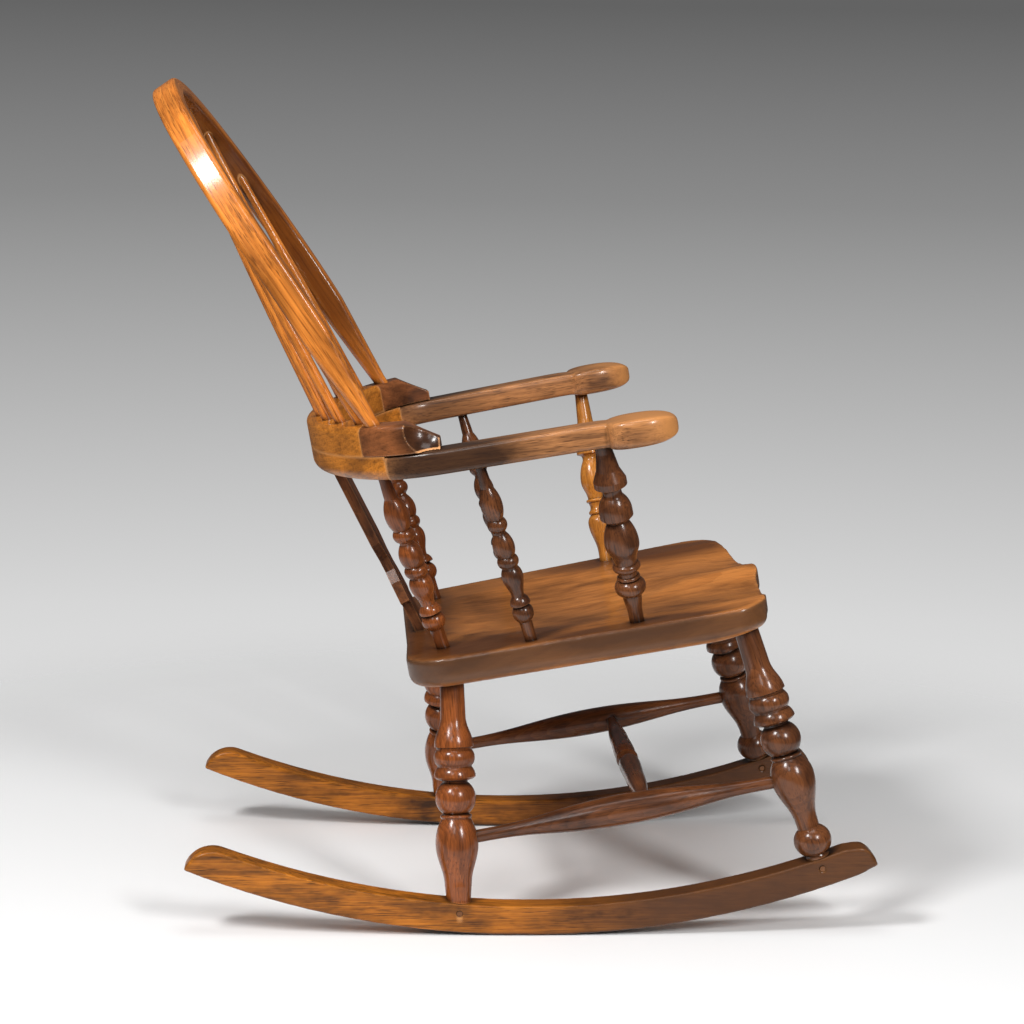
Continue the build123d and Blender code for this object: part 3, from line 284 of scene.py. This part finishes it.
def arch_grain(tree):
    """Grain that follows the bent hoop: across the bend, front to back, and along the bend."""
    place = add(tree, "ShaderNodeTexCoord")
    flat = add(tree, "ShaderNodeMapping",
               {"Vector": place.outputs["Object"], "Location": HOOP_PLACE, "Rotation": HOOP_AXES.to_euler()},
               vector_type="TEXTURE")
    part = add(tree, "ShaderNodeSeparateXYZ", {0: flat.outputs[0]})
    across = add(tree, "ShaderNodeMath", {0: part.outputs["X"]}, operation="ABSOLUTE")
    side_x = add(tree, "ShaderNodeMath", {0: across.outputs[0], 1: -SIDE_CENTRE[0]}, operation="ADD")
    side_y = add(tree, "ShaderNodeMath", {0: part.outputs["Y"], 1: -SIDE_CENTRE[1]}, operation="ADD")
    side_up = add(tree, "ShaderNodeMath", {0: side_y.outputs[0], 1: 0.0}, operation="MAXIMUM")
    side_point = add(tree, "ShaderNodeCombineXYZ", {0: side_x.outputs[0], 1: side_up.outputs[0]})
    side_far = add(tree, "ShaderNodeVectorMath", {0: side_point.outputs[0]}, operation="LENGTH")
    side = add(tree, "ShaderNodeMath", {0: side_far.outputs["Value"], 1: SIDE_RADIUS},
               operation="SUBTRACT")
    crown_point = add(tree, "ShaderNodeCombineXYZ", {0: across.outputs[0], 1: part.outputs["Y"]})
    crown_far = add(tree, "ShaderNodeVectorMath", {0: crown_point.outputs[0]}, operation="LENGTH")
    crown = add(tree, "ShaderNodeMath", {0: crown_far.outputs["Value"], 1: CROWN_RADIUS},
                operation="SUBTRACT")
    turn = add(tree, "ShaderNodeMath", {0: part.outputs["Y"], 1: across.outputs[0]}, operation="ARCTAN2")
    above = add(tree, "ShaderNodeMath", {0: turn.outputs[0], 1: CROWN_TURN}, operation="GREATER_THAN")
    offset = add(tree, "ShaderNodeMix",
                 {"Factor": above.outputs[0], "A": side.outputs[0], "B": crown.outputs[0]},
                 data_type="FLOAT")
    # the length along the bend: a turn about the sides' centres, with half of the height
    along_turn = add(tree, "ShaderNodeMath", {0: part.outputs["X"], 1: side_up.outputs[0]},
                     operation="ARCTAN2")
    rise = add(tree, "ShaderNodeMath", {0: part.outputs["Y"], 1: 0.5}, operation="MULTIPLY")
    along = add(tree, "ShaderNodeMath", {0: along_turn.outputs[0], 1: 0.25, 2: rise.outputs[0]},
                operation="MULTIPLY_ADD")
    grain = add(tree, "ShaderNodeCombineXYZ",
                {0: offset.outputs["Result"], 1: part.outputs["Z"], 2: along.outputs[0]})
    return grain.outputs[0]


def straight_grain(tree, start, end):
    """Grain in a straight line from start to end: metres across, across and along."""
    place = add(tree, "ShaderNodeTexCoord")
    turn = (Vector(end) - Vector(start)).to_track_quat("Z", "Y").to_euler()
    laid = add(tree, "ShaderNodeMapping",
               {"Vector": place.outputs["Object"], "Location": start, "Rotation": turn},
               vector_type="TEXTURE")
    return laid.outputs[0]


def growth_rings(tree, grain, finish, pith, tilt):
    """Growth rings about a pith, in mm to one side of the piece, a little wavy and at a slight tilt."""
    ring = finish["ring"] * MM
    lean = math.radians(tilt)
    heart = add(tree, "ShaderNodeMapping",
                {"Vector": grain, "Location": (pith[0] * MM, pith[1] * MM, 0), "Rotation": (lean, lean, 0),
                 "Scale": (ring, ring, ring * RING_RUN)}, vector_type="TEXTURE")
    wave = add(tree, "ShaderNodeTexWave",
               {"Vector": heart.outputs[0], "Scale": RING_SCALE, "Distortion": 2.6, "Detail": 3.0,
                "Detail Scale": 0.7}, wave_type="RINGS", rings_direction="Z", wave_profile="SAW")
    return wave.outputs["Fac"]


def marks(tree, grain, size, seed, low, high, **look):
    """Marks of a real size in the wood: their pattern, and a mask from none at low to full at high."""
    across, along = size[0] * MM, size[1] * MM
    laid = add(tree, "ShaderNodeMapping",
               {"Vector": grain, "Location": (seed * across, seed * 0.7 * across, 0),
                "Scale": (across, across, along)}, vector_type="TEXTURE")
    noise = add(tree, "ShaderNodeTexNoise", {"Vector": laid.outputs[0], "Scale": 1.0, **look})
    mask = add(tree, "ShaderNodeMapRange",
               {"Value": noise.outputs["Fac"], "From Min": low, "From Max": high})
    return noise.outputs["Fac"], mask.outputs[0]


def stain_mask(tree, fraying, tip, tail, reach):
    """A long oval from tip to tail, so many mm out to each side, with a frayed edge."""
    place = add(tree, "ShaderNodeTexCoord")
    run = Vector(tail) - Vector(tip)
    oval = add(tree, "ShaderNodeMapping",
               {"Vector": place.outputs["Object"], "Location": (Vector(tip) + Vector(tail)) / 2,
                "Rotation": run.to_track_quat("Z", "Y").to_euler(),
                "Scale": (reach * MM, reach * MM, run.length / 2)}, vector_type="TEXTURE")
    off = add(tree, "ShaderNodeVectorMath", {0: oval.outputs[0]}, operation="LENGTH")
    frayed = add(tree, "ShaderNodeMath", {0: fraying, 1: 1.2, 2: off.outputs["Value"]},
                 operation="MULTIPLY_ADD")
    stain = add(tree, "ShaderNodeMapRange",
                {"Value": frayed.outputs[0], "From Min": 1.75, "From Max": 1.15, "To Max": 0.9})
    return stain.outputs[0]


def lay_over(tree, colour, mask, tone, amount=None):
    """Lays a tone over a colour where a mask is full, at most by the amount."""
    share = mask
    if amount is not None:
        share = add(tree, "ShaderNodeMath", {0: mask, 1: amount}, operation="MULTIPLY").outputs[0]
    mixed = add(tree, "ShaderNodeMix", {"Factor": share, "A": colour, "B": linear(tone)},
                data_type="RGBA")
    return mixed.outputs["Result"]


def wood(name, finish, start=None, end=None, pith=(60, 30), tilt=2.0, seed=0.0, stains_and_shade=(), sides=None):
    """Polished old wood, its grain from start to end, or round the bend of the hoop where none is given.

    Each stain, or patch of painted shade, is given by its two tips, how far it reaches to each side in mm
    and its tone. Sides is the tone of painted shade laid on a board's upright sides, darker than its top.
    """
    made = bpy.data.materials.new(name)
    made.use_nodes = True
    tree = made.node_tree
    tree.nodes.clear()
    grain = straight_grain(tree, start, end) if start else arch_grain(tree)
    rings = growth_rings(tree, grain, finish, pith, tilt)
    # pores are under 0.3 mm wide in life; drawn 1.3 mm wide so that they show
    pores, pore = marks(tree, grain, PORE, seed, 0.52, 0.72, Detail=2.0)
    # dark streaks a few millimetres wide and a hand long
    bands, band = marks(tree, grain, STREAK, seed + 3, 0.5, 0.8, Detail=3.0)
    # blotches of old polish the size of a palm
    blots, blot = marks(tree, grain, BLOTCH, seed + 7, 0.42, 0.72, Detail=4.0, Roughness=0.6)
    # dirt and painted shade darken corners, creases and joints where walls close in; edges are rubbed pale
    corner = add(tree, "ShaderNodeAmbientOcclusion", {"Distance": DIRT_AND_SHADE_REACH * MM}, samples=6)
    dirt_and_shade = add(tree, "ShaderNodeMapRange",
               {"Value": corner.outputs["AO"], "From Min": 0.92, "From Max": 0.42})
    edge = add(tree, "ShaderNodeAmbientOcclusion", {"Distance": finish["edge"] * MM}, samples=6,
               inside=True, only_local=True)
    rub = add(tree, "ShaderNodeMapRange", {"Value": edge.outputs["AO"], "From Min": 0.8, "From Max": 0.45})

    colour = lay_over(tree, linear(finish["light"]), rings, finish["dark"], finish["rings"])
    colour = lay_over(tree, colour, blot, finish["streak"], finish["blotches"])
    colour = lay_over(tree, colour, band, finish["streak"], finish["streaks"])
    colour = lay_over(tree, colour, pore, finish["streak"], finish["streaks"])
    # stains, and patches of painted shade where one is given, are laid over the colour
    for tip, tail, reach, tone in stains_and_shade:
        colour = lay_over(tree, colour, stain_mask(tree, blots, tip, tail, reach), tone)
    if sides:
        # painted shade: the board's upright sides are painted darker than its top, as light from above
        # leaves them in shade
        facing = add(tree, "ShaderNodeNewGeometry")
        upright = add(tree, "ShaderNodeSeparateXYZ", {0: facing.outputs["Normal"]})
        level = add(tree, "ShaderNodeMath", {0: upright.outputs["Z"]}, operation="ABSOLUTE")
        side = add(tree, "ShaderNodeMapRange",
                   {"Value": level.outputs[0], "From Min": 0.75, "From Max": 0.35, "To Max": 0.75})
        colour = lay_over(tree, colour, side.outputs[0], sides)
    if not start:
        # the hoop's inner face is painted dark: old dark polish, never rubbed, and painted shade where the
        # lamps don't reach it
        bend = add(tree, "ShaderNodeSeparateXYZ", {0: grain})
        inner = add(tree, "ShaderNodeMapRange",
                    {"Value": bend.outputs["X"], "From Min": INNER_STARTS * MM, "From Max": INNER_ENDS * MM,
                     "To Max": 0.75})
        colour = lay_over(tree, colour, inner.outputs[0], finish["streak"])
    # dirt and painted shade: where the occlusion finds walls close by, the colour takes the dark tone
    colour = lay_over(tree, colour, dirt_and_shade.outputs[0], finish["dirt_and_shade"], finish["dirt_and_shade_strength"])
    colour = lay_over(tree, colour, rub.outputs[0], finish["worn"], finish["rubbed"])
    # the polish is duller on the blotches, and pores and streaks are felt in it
    rough = add(tree, "ShaderNodeMath", {0: blot, 1: 0.14, 2: finish["rough"]}, operation="MULTIPLY_ADD")
    relief = add(tree, "ShaderNodeMath", {0: bands, 1: 1.5, 2: pores}, operation="MULTIPLY_ADD")
    bump = add(tree, "ShaderNodeBump",
               {"Height": relief.outputs[0], "Strength": 0.25, "Distance": RELIEF * MM})
    shader = add(tree, "ShaderNodeBsdfPrincipled",
                 {"Base Color": colour, "Roughness": rough.outputs[0], "Normal": bump.outputs[0],
                  "Specular IOR Level": 0.2, "Coat Weight": finish["polish"], "Coat Roughness": 0.15})
    add(tree, "ShaderNodeOutputMaterial", {"Surface": shader.outputs[0]})
    return made


def polish(piece, material):
    """Gives a piece or a solid its one finish."""
    piece.data.materials.clear()
    piece.data.materials.append(material)


# ---------------------------------------------------------------- axes of the pieces, in metres
LINES = {
    "front_post_right": ((-0.198, -0.147, 0.384), (-0.253, -0.095, 0.603)),
    "front_post_left": ((0.198, -0.149, 0.384), (0.255, -0.115, 0.607)),
    "middle_post_right": ((-0.195, -0.019, 0.359), (-0.238, 0.050, 0.578)),
    "middle_post_left": ((0.195, -0.019, 0.359), (0.238, 0.050, 0.578)),
    "back_post_right": ((-0.149, 0.086, 0.339), (-0.192, 0.163, 0.557)),
    "back_post_left": ((0.149, 0.086, 0.339), (0.192, 0.163, 0.557)),
    "front_leg_right": ((-0.192, -0.283, 0.371), (-0.229, -0.376, 0.097)),
    "front_leg_left": ((0.192, -0.283, 0.371), (0.229, -0.376, 0.097)),
    "back_leg_right": ((-0.174, 0.076, 0.302), (-0.229, 0.066, 0.041)),
    "back_leg_left": ((0.174, 0.076, 0.302), (0.229, 0.066, 0.041)),
    "side_stretcher_right": ((-0.214, 0.062, 0.114), (-0.216, -0.337, 0.190)),
    "side_stretcher_left": ((0.214, 0.062, 0.114), (0.216, -0.337, 0.190)),
    "centre_stretcher": ((-0.209, -0.164, 0.157), (0.209, -0.164, 0.157)),
    "lower_splat": ((0.0, 0.111, 0.334), (0.0, 0.221, 0.545)),
}
HOOP_FEET = {"right": ((-0.2037, 0.1799, 0.6266), (-0.2037, 0.1614, 0.5981)),
             "left": ((0.2037, 0.1646, 0.6296), (0.2037, 0.1461, 0.6011))}
# the sticks of the left side, from the middle outwards
STICKS = (((0.026, 0.239, 0.610), (0.018, 0.431, 1.006)), ((0.078, 0.231, 0.611), (0.068, 0.424, 0.993)),
          ((0.127, 0.215, 0.614), (0.117, 0.407, 0.965)), ((0.174, 0.191, 0.619), (0.163, 0.372, 0.913)))
SEAT_LINE = ((0.0, -0.3, 0.36), (0.0, 0.1, 0.28))
ROCKER_LINE = ((0.229, -0.42, 0.05), (0.229, 0.36, 0.05))
ARM_LINE = ((0.24, 0.15, 0.60), (0.26, -0.18, 0.65))
CREST_END_LINE = ((0.22, 0.20, 0.6), (0.24, 0.1, 0.62))
BOW_LINE = ((-0.2, 0.22, 0.58), (0.2, 0.22, 0.58))
PEG_LINE = ((0, 0, 0), (1, 0, 0))
# radius in mm of each round end in the seat, with a little room
SEAT_ENDS = {"front_post_right": 10.7, "front_post_left": 9.7, "middle_post_right": 9.1,
             "middle_post_left": 9.1, "back_post_right": 10.0, "back_post_left": 10.0,
             "front_leg_right": 16.3, "front_leg_left": 16.3, "back_leg_right": 16.3, "back_leg_left": 16.3}
# heights on the bench, in mm, between which the sockets of posts, legs and hoop lie
POST_SOCKET_SPAN = (-25, 50)
LEG_SOCKET_SPAN = (-50, -10)
HOOP_SOCKET_SPAN = (255, 300)
# and the other sockets' radii, with a little room as well
HOOP_SOCKET_RADIUS = 9.2
STRETCHER_SOCKET_RADIUS = 7.5


# ---------------------------------------------------------------- pieces reworked over their solids
def fill_openings():
    """In edit mode, closes every opening in a mesh."""
    bpy.ops.mesh.select_non_manifold()
    bpy.ops.mesh.fill_holes(sides=0)


def close_sockets(piece, sockets):
    """Closes round sockets, so that the rubbed wood fits snugly about what stands in them."""
    only(piece)
    bpy.ops.object.mode_set(mode="EDIT")
    bpy.ops.mesh.select_mode(type="VERT")
    for start, end, radius, low, high in sockets:
        start, along = Vector(start), (Vector(end) - Vector(start)).normalized()
        pick(piece, lambda place: (place - start).cross(along).length < radius * MM
             and low < (OFF_FLOOR @ place).z / MM < high)
        bpy.ops.mesh.delete(type="FACE")
    fill_openings()
    bpy.ops.object.mode_set(mode="OBJECT")


def rubbed_copy(name, node, voxel, passes, sockets=()):
    """A solid's own shape, its sockets closed, with the corners rubbed soft by years of use."""
    piece = bpy.data.objects.new(name, solids[node].data.copy())
    bpy.context.scene.collection.objects.link(piece)
    only(piece)
    bpy.ops.object.mode_set(mode="EDIT")
    bpy.ops.mesh.select_all(action="SELECT")
    bpy.ops.mesh.remove_doubles(threshold=0.01 * MM)
    bpy.ops.object.mode_set(mode="OBJECT")
    if sockets:
        close_sockets(piece, sockets)
    finish_with(piece, "REMESH", mode="VOXEL", voxel_size=voxel * MM)
    finish_with(piece, "SMOOTH", factor=0.5, iterations=passes)
    only(piece)
    bpy.ops.object.shade_smooth()
    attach(piece, "root")
    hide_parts(node)
    return piece


def press(piece, test, push, reach):
    """Pushes the picked place by so many mm, on the bench, and draws the wood round it along."""
    only(piece)
    bpy.ops.object.mode_set(mode="EDIT")
    bpy.ops.mesh.select_mode(type="VERT")
    pick(piece, lambda place: test(OFF_FLOOR @ place / MM))
    bpy.ops.transform.translate(value=ON_FLOOR.to_3x3() @ Vector(push) * MM, use_proportional_edit=True,
                                proportional_edit_falloff="SMOOTH", proportional_size=reach * MM)
    bpy.ops.object.mode_set(mode="OBJECT")


# how the seat departs from a plain board, on the bench in mm: the place held, the push and its reach
SEAT_WEAR = (
    # the pommel is drawn forward, and the thigh hollow on each side of it is worn deeper
    (lambda p: abs(p.x) < 5 and p.y < -250, (0, -7, 1.5), 42),
    (lambda p: abs(p.x + 98) < 14 and p.y < -252 and p.z > -18, (0, 2.5, -3), 58),
    (lambda p: abs(p.x - 98) < 14 and p.y < -252 and p.z > -18, (0, 2.5, -3), 58),
    # no corner is quite like another
    (lambda p: p.x < -222 and p.y < -225, (0, -5, 0), 120),
    (lambda p: p.x > 222 and p.y < -225, (0, 6, 0), 120),
    (lambda p: p.x < -180 and p.y > 170, (0, 3, 0), 120),
    # the lower edge of the right front corner is rounded back
    (lambda p: abs(p.x + 205) < 12 and p.y < -235 and p.z < -20, (4, 8, 4), 60),
)


def saddle_seat():
    """The seat: an elm board with closed sockets, saddled and worn."""
    sockets = [(*LINES[name], radius, *(POST_SOCKET_SPAN if "post" in name else LEG_SOCKET_SPAN))
               for name, radius in SEAT_ENDS.items()]
    piece = rubbed_copy("saddled_seat", "seat", 2.6, 5, sockets)
    for test, push, reach in SEAT_WEAR:
        press(piece, test, push, reach)
    return piece


# the bow's bend on the bench, in mm: its centre, the radius of its middle line, and how far it has turned
# where the arm is sawn off against the rail and where the arm runs straight on
SHOULDER = Vector((126.37, 95.94, 0))
BEND_RADIUS = 107.5
JOINT_TURN, ARM_TURN = math.radians(52), math.radians(84)
# the plank's sides from that middle line, its underside and top on the bench, and its rounded edges
PLANK_LOW, PLANK_HIGH = Vector((-22.5, 228)), Vector((22.5, 258.5))
PLANK_EDGE = 6
# stations down the arm, in mm from the bend: along the chair, inner side, outer side, underside, top
ARM_STATIONS = ((60, -22.5, 22.5, 228, 258.5), (10, -22.5, 22.5, 228, 258.5), (-40, -22, 22.5, 228, 258.5),
                (-64, -22, 22.5, 228, 258.5), (-81, -22, 21.8, 228, 258.2),
                (-87.5, -22.5, 20.5, 227.5, 257.4), (-90, -24, 22.5, 226.8, 257.2),
                (-92, -26, 30.5, 226, 258), (-98, -29.5, 36, 225, 259.2), (-109, -32.5, 40.6, 224.6, 260),
                (-124, -33.5, 41.8, 224.5, 260), (-140, -32, 40.2, 224.8, 259.6),
                (-154, -26.5, 34.5, 226, 258), (-164, -18, 25, 228.5, 255.5), (-170, -8.5, 15, 232, 251.5),
                (-172, -2, 6.5, 237, 247))


def out_and_ahead(turn):
    """Directions across the bow and along it, where it has turned so far."""
    return (Vector((math.sin(turn), math.cos(turn), 0)), Vector((math.cos(turn), -math.sin(turn), 0)))


def carve_arm(hand, side):
    """An arm sawn from elm plank: round the shoulder, straight forward, then a notch and a domed pad."""
    bpy.ops.object.select_all(action="DESELECT")
    bpy.ops.mesh.primitive_plane_add(size=1)
    piece = bpy.context.object
    piece.name = "carved_arm_" + hand
    # the plank's section stands where the arm meets the rail
    out, saw_line = out_and_ahead(JOINT_TURN)
    half_way_up = Vector((0, 0, (PLANK_LOW.y + PLANK_HIGH.y) / 2))
    middle = SHOULDER + half_way_up + out * BEND_RADIUS
    upright = Matrix((out, (0, 0, 1), saw_line)).transposed().to_4x4()
    piece.matrix_world = Matrix.Translation(middle * MM) @ upright
    bpy.ops.object.mode_set(mode="EDIT")
    bpy.ops.mesh.select_all(action="SELECT")
    width, height = (PLANK_HIGH - PLANK_LOW) * MM
    bpy.ops.transform.resize(value=(width, width, height), orient_type="GLOBAL")
    bpy.ops.object.mode_set(mode="OBJECT")
    bpy.ops.object.transform_apply(location=True, rotation=True, scale=True)
    bpy.ops.object.mode_set(mode="EDIT")
    bpy.ops.mesh.select_all(action="SELECT")
    bpy.ops.mesh.bevel(offset=PLANK_EDGE * MM, segments=2, affect="VERTICES")
    bpy.ops.mesh.spin(steps=5, angle=ARM_TURN - JOINT_TURN, center=SHOULDER * MM, axis=(0, 0, 1))
    # then it is drawn forward from station to station
    low, high = PLANK_LOW, PLANK_HIGH
    out, ahead = out_and_ahead(ARM_TURN)
    start = SHOULDER + out * BEND_RADIUS
    here = start
    for y, inner, outer, bottom, top in ARM_STATIONS:
        there = start + ahead * ((start.y - y) / math.sin(ARM_TURN))
        bpy.ops.mesh.extrude_region_move(TRANSFORM_OT_translate={"value": (there - here) * MM})
        middle = there + out * (low.x + high.x) / 2 + Vector((0, 0, (low.y + high.y) / 2))
        new_low, new_high = Vector((inner, bottom)), Vector((outer, top))
        wider = (new_high.x - new_low.x) / (high.x - low.x)
        taller = (new_high.y - new_low.y) / (high.y - low.y)
        bpy.ops.transform.resize(value=(wider, wider, taller), center_override=middle * MM)
        shift = out * ((new_low.x + new_high.x - low.x - high.x) / 2)
        shift.z = (new_low.y + new_high.y - low.y - high.y) / 2
        bpy.ops.transform.translate(value=shift * MM)
        low, high, here = new_low, new_high, there
    bpy.ops.mesh.select_all(action="DESELECT")
    bpy.ops.mesh.select_non_manifold()
    bpy.ops.mesh.edge_face_add()
    bpy.ops.object.mode_set(mode="OBJECT")
    # the sawn end at the joint stays flat and crisp, so the seam against the rail is only a line
    crease = piece.data.attributes.new("crease_edge", "FLOAT", "EDGE")
    for edge in piece.data.edges:
        ends = [piece.data.vertices[index].co / MM - SHOULDER for index in edge.vertices]
        if all(abs(end.dot(saw_line)) < 0.5 for end in ends):
            crease.data[edge.index].value = 1
    piece.matrix_world = ON_FLOOR @ Matrix.Diagonal((side, 1, 1, 1))
    bpy.ops.object.transform_apply(location=True, rotation=True, scale=True)
    bpy.ops.object.mode_set(mode="EDIT")
    bpy.ops.mesh.select_all(action="SELECT")
    bpy.ops.mesh.normals_make_consistent(inside=False)
    bpy.ops.object.mode_set(mode="OBJECT")
    finish_with(piece, "SUBSURF", levels=3, render_levels=3)
    bpy.ops.object.shade_smooth_by_angle(angle=math.radians(60))
    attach(piece, "root")
    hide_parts("arm_" + hand)
    return piece


# the hoop is a little turned, so its left foot comes near this place on its block, on the bench in mm
THIN_WALL = Vector((197.2, 152.4, 272))


def scoop_crest_end(hand):
    """A crest end, closed again about the foot of the hoop, and fuller where the foot comes near."""
    sockets = [(*HOOP_FEET[hand], HOOP_SOCKET_RADIUS, *HOOP_SOCKET_SPAN)]
    piece = rubbed_copy("scooped_crest_end_" + hand, "crest_end_" + hand, 0.8, 5, sockets)
    if hand == "left":
        press(piece, lambda p: (p - THIN_WALL).length < 6, (-1.5, -1.3, 0), 18)
    return piece


# a rocker's front end on the floor, in metres forward and up: the top of the nose, and its tip
NOSE, NOSE_TIP = Vector((-0.439, 0.101)), Vector((-0.449, 0.091))


def round_rocker(hand):
    """A rocker with rubbed edges and a full, round nose."""
    piece = rubbed_copy("worn_rocker_" + hand, "rocker_" + hand, 1.6, 9)
    press(piece, lambda p: ((ON_FLOOR @ (p * MM)).yz - NOSE).length < 5 * MM, (0, -0.5, 4.5), 24)
    rubbed = piece.vertex_groups.new(name="nose")
    near_tip = [vertex.index for vertex in piece.data.vertices
                if (vertex.co.yz - NOSE_TIP).length < 16 * MM]
    rubbed.add(near_tip, 1, "REPLACE")
    finish_with(piece, "SMOOTH", factor=0.5, iterations=40, vertex_group="nose")
    return piece


def swell_stretcher(hand, growth):
    """A side stretcher, fuller in the middle than the plain turning."""
    name = "side_stretcher_" + hand
    piece = rubbed_copy("full_" + name, name, 1.3, 3)
    start, end = (Vector(place) for place in LINES[name])
    middle, along = (start + end) / 2, (end - start).normalized()
    bpy.ops.object.mode_set(mode="EDIT")
    bpy.ops.mesh.select_mode(type="VERT")
    # the socket of the centre stretcher is closed again on the inner side, so that its end sits snugly
    hole, far_hole = (Vector(place) for place in LINES["centre_stretcher"])
    across = (far_hole - hole).normalized()
    pick(piece, lambda place: (place - hole).cross(across).length < STRETCHER_SOCKET_RADIUS * MM
         and abs(place.x) < abs(middle.x))
    bpy.ops.mesh.delete(type="FACE")
    fill_openings()
    pick(piece, lambda place: abs((place - middle).dot(along)) < 8 * MM)
    bpy.ops.transform.resize(value=(growth, growth, growth), center_override=middle,
                             use_proportional_edit=True, proportional_edit_falloff="SMOOTH",
                             proportional_size=140 * MM)
    bpy.ops.object.mode_set(mode="OBJECT")
    return piece


seat = saddle_seat()
arms = {hand: carve_arm(hand, side) for side, hand in SIDES}
crest_ends = {hand: scoop_crest_end(hand) for side, hand in SIDES}
rockers = {hand: round_rocker(hand) for side, hand in SIDES}
stretchers = {"side_stretcher_" + hand: swell_stretcher(hand, growth)
              for hand, growth in (("right", 1.24), ("left", 1.15))}

# ---------------------------------------------------------------- finishes on each piece
# the polish has gone dark round the posts' feet, along the back and at the near corners
SEAT_STAINS = (((-0.19, 0.15, 0.33), (-0.15, -0.10, 0.37), 60, "#452410"),
               ((-0.21, 0.02, 0.36), (-0.22, -0.28, 0.40), 32, "#4c2a16"),
               ((-0.25, 0.12, 0.33), (0.25, 0.12, 0.33), 60, "#452410"),
               ((0.18, -0.34, 0.42), (0.20, -0.05, 0.37), 50, "#55301a"))
# the rocker's front half is dirtier
ROCKER_STAINS = (((0.229, -0.56, 0.09), (0.229, -0.04, 0.02), 110, "#4a2c18"),)
# the pad is worn pale by hands, and the shoulder is nearly black
ARM_STAINS = (((0.262, -0.24, 0.65), (0.262, -0.10, 0.63), 42, "#cf8c50"),
              ((0.235, 0.18, 0.575), (0.27, -0.01, 0.60), 48, "#281a15"))
# painted shade lies in the hollow of the scoop
CREST_END_SCOOP_SHADE = (((0.25, 0.155, 0.622), (0.25, 0.075, 0.606), 30, "#1c120d"),)
# a dark streak in the wood runs down the hoop's right side
HOOP_STAINS = (((-0.207, 0.330, 0.836), (-0.188, 0.205, 0.640), 15, "#3a1a08"),)


def stains_and_shade_on_side(side, stains_and_shade):
    """Stains and patches of painted shade given for the left side, brought to the side asked for."""
    return [(*on_side(side, tip, tail), reach, tone) for tip, tail, reach, tone in stains_and_shade]


# the seat's upright sides take a tone of painted shade, darker than its top
polish(seat, wood("elm_seat", ELM_SEAT, *SEAT_LINE, pith=(30, 160), tilt=5.0, sides="#4e3626",
                  stains_and_shade=SEAT_STAINS))
for number, (name, line) in enumerate(LINES.items()):
    finish = BEECH_WARM if name.startswith("back") else BEECH_DARK
    finish = {"front_post_left": BEECH_LIGHT, "lower_splat": BEECH_SPLAT}.get(name, finish)
    piece = stretchers.get(name, solids[name])
    polish(piece, wood("beech_" + name, finish, *line, pith=(17, 9), tilt=3.0, seed=number))
for side, hand in SIDES:
    for number, stick in enumerate(STICKS, 1):
        name = "stick_" + hand + "_" + str(number)
        polish(solids[name], wood("ash_" + name, ASH, *on_side(side, *stick), pith=(40, 25),
                                  seed=number * 2 + side))
    polish(rockers[hand], wood("ash_rocker_" + hand, ASH_ROCKER, *on_side(side, *ROCKER_LINE),
                               pith=(80, 140), seed=side * 5, stains_and_shade=stains_and_shade_on_side(side, ROCKER_STAINS)))
    polish(arms[hand], wood("elm_arm_" + hand, ELM_ARM, *on_side(side, *ARM_LINE), pith=(50, 120),
                            seed=side * 2, stains_and_shade=stains_and_shade_on_side(side, ARM_STAINS)))
    polish(crest_ends[hand], wood("elm_crest_end_" + hand, ELM_CREST_END, *on_side(side, *CREST_END_LINE),
                                  pith=(40, 90), seed=side,
                                  stains_and_shade=stains_and_shade_on_side(side, CREST_END_SCOOP_SHADE)))
polish(solids["back_rail"], wood("elm_back_rail", ELM_BOW, *BOW_LINE, pith=(70, 110), seed=11))
polish(solids["crest_middle"], wood("elm_crest_middle", {**ELM_BOW, "blotches": 0.4}, *BOW_LINE,
                                    pith=(60, 90), seed=13))
polish(solids["hoop"], wood("ash_hoop", ASH, pith=(60, 40), stains_and_shade=HOOP_STAINS))
for name in ("rocker_pegs", "arm_dowels", "crest_dowels"):
    polish(solids[name], wood("oak_" + name, OAK_PEG, *PEG_LINE, pith=(3, 2)))
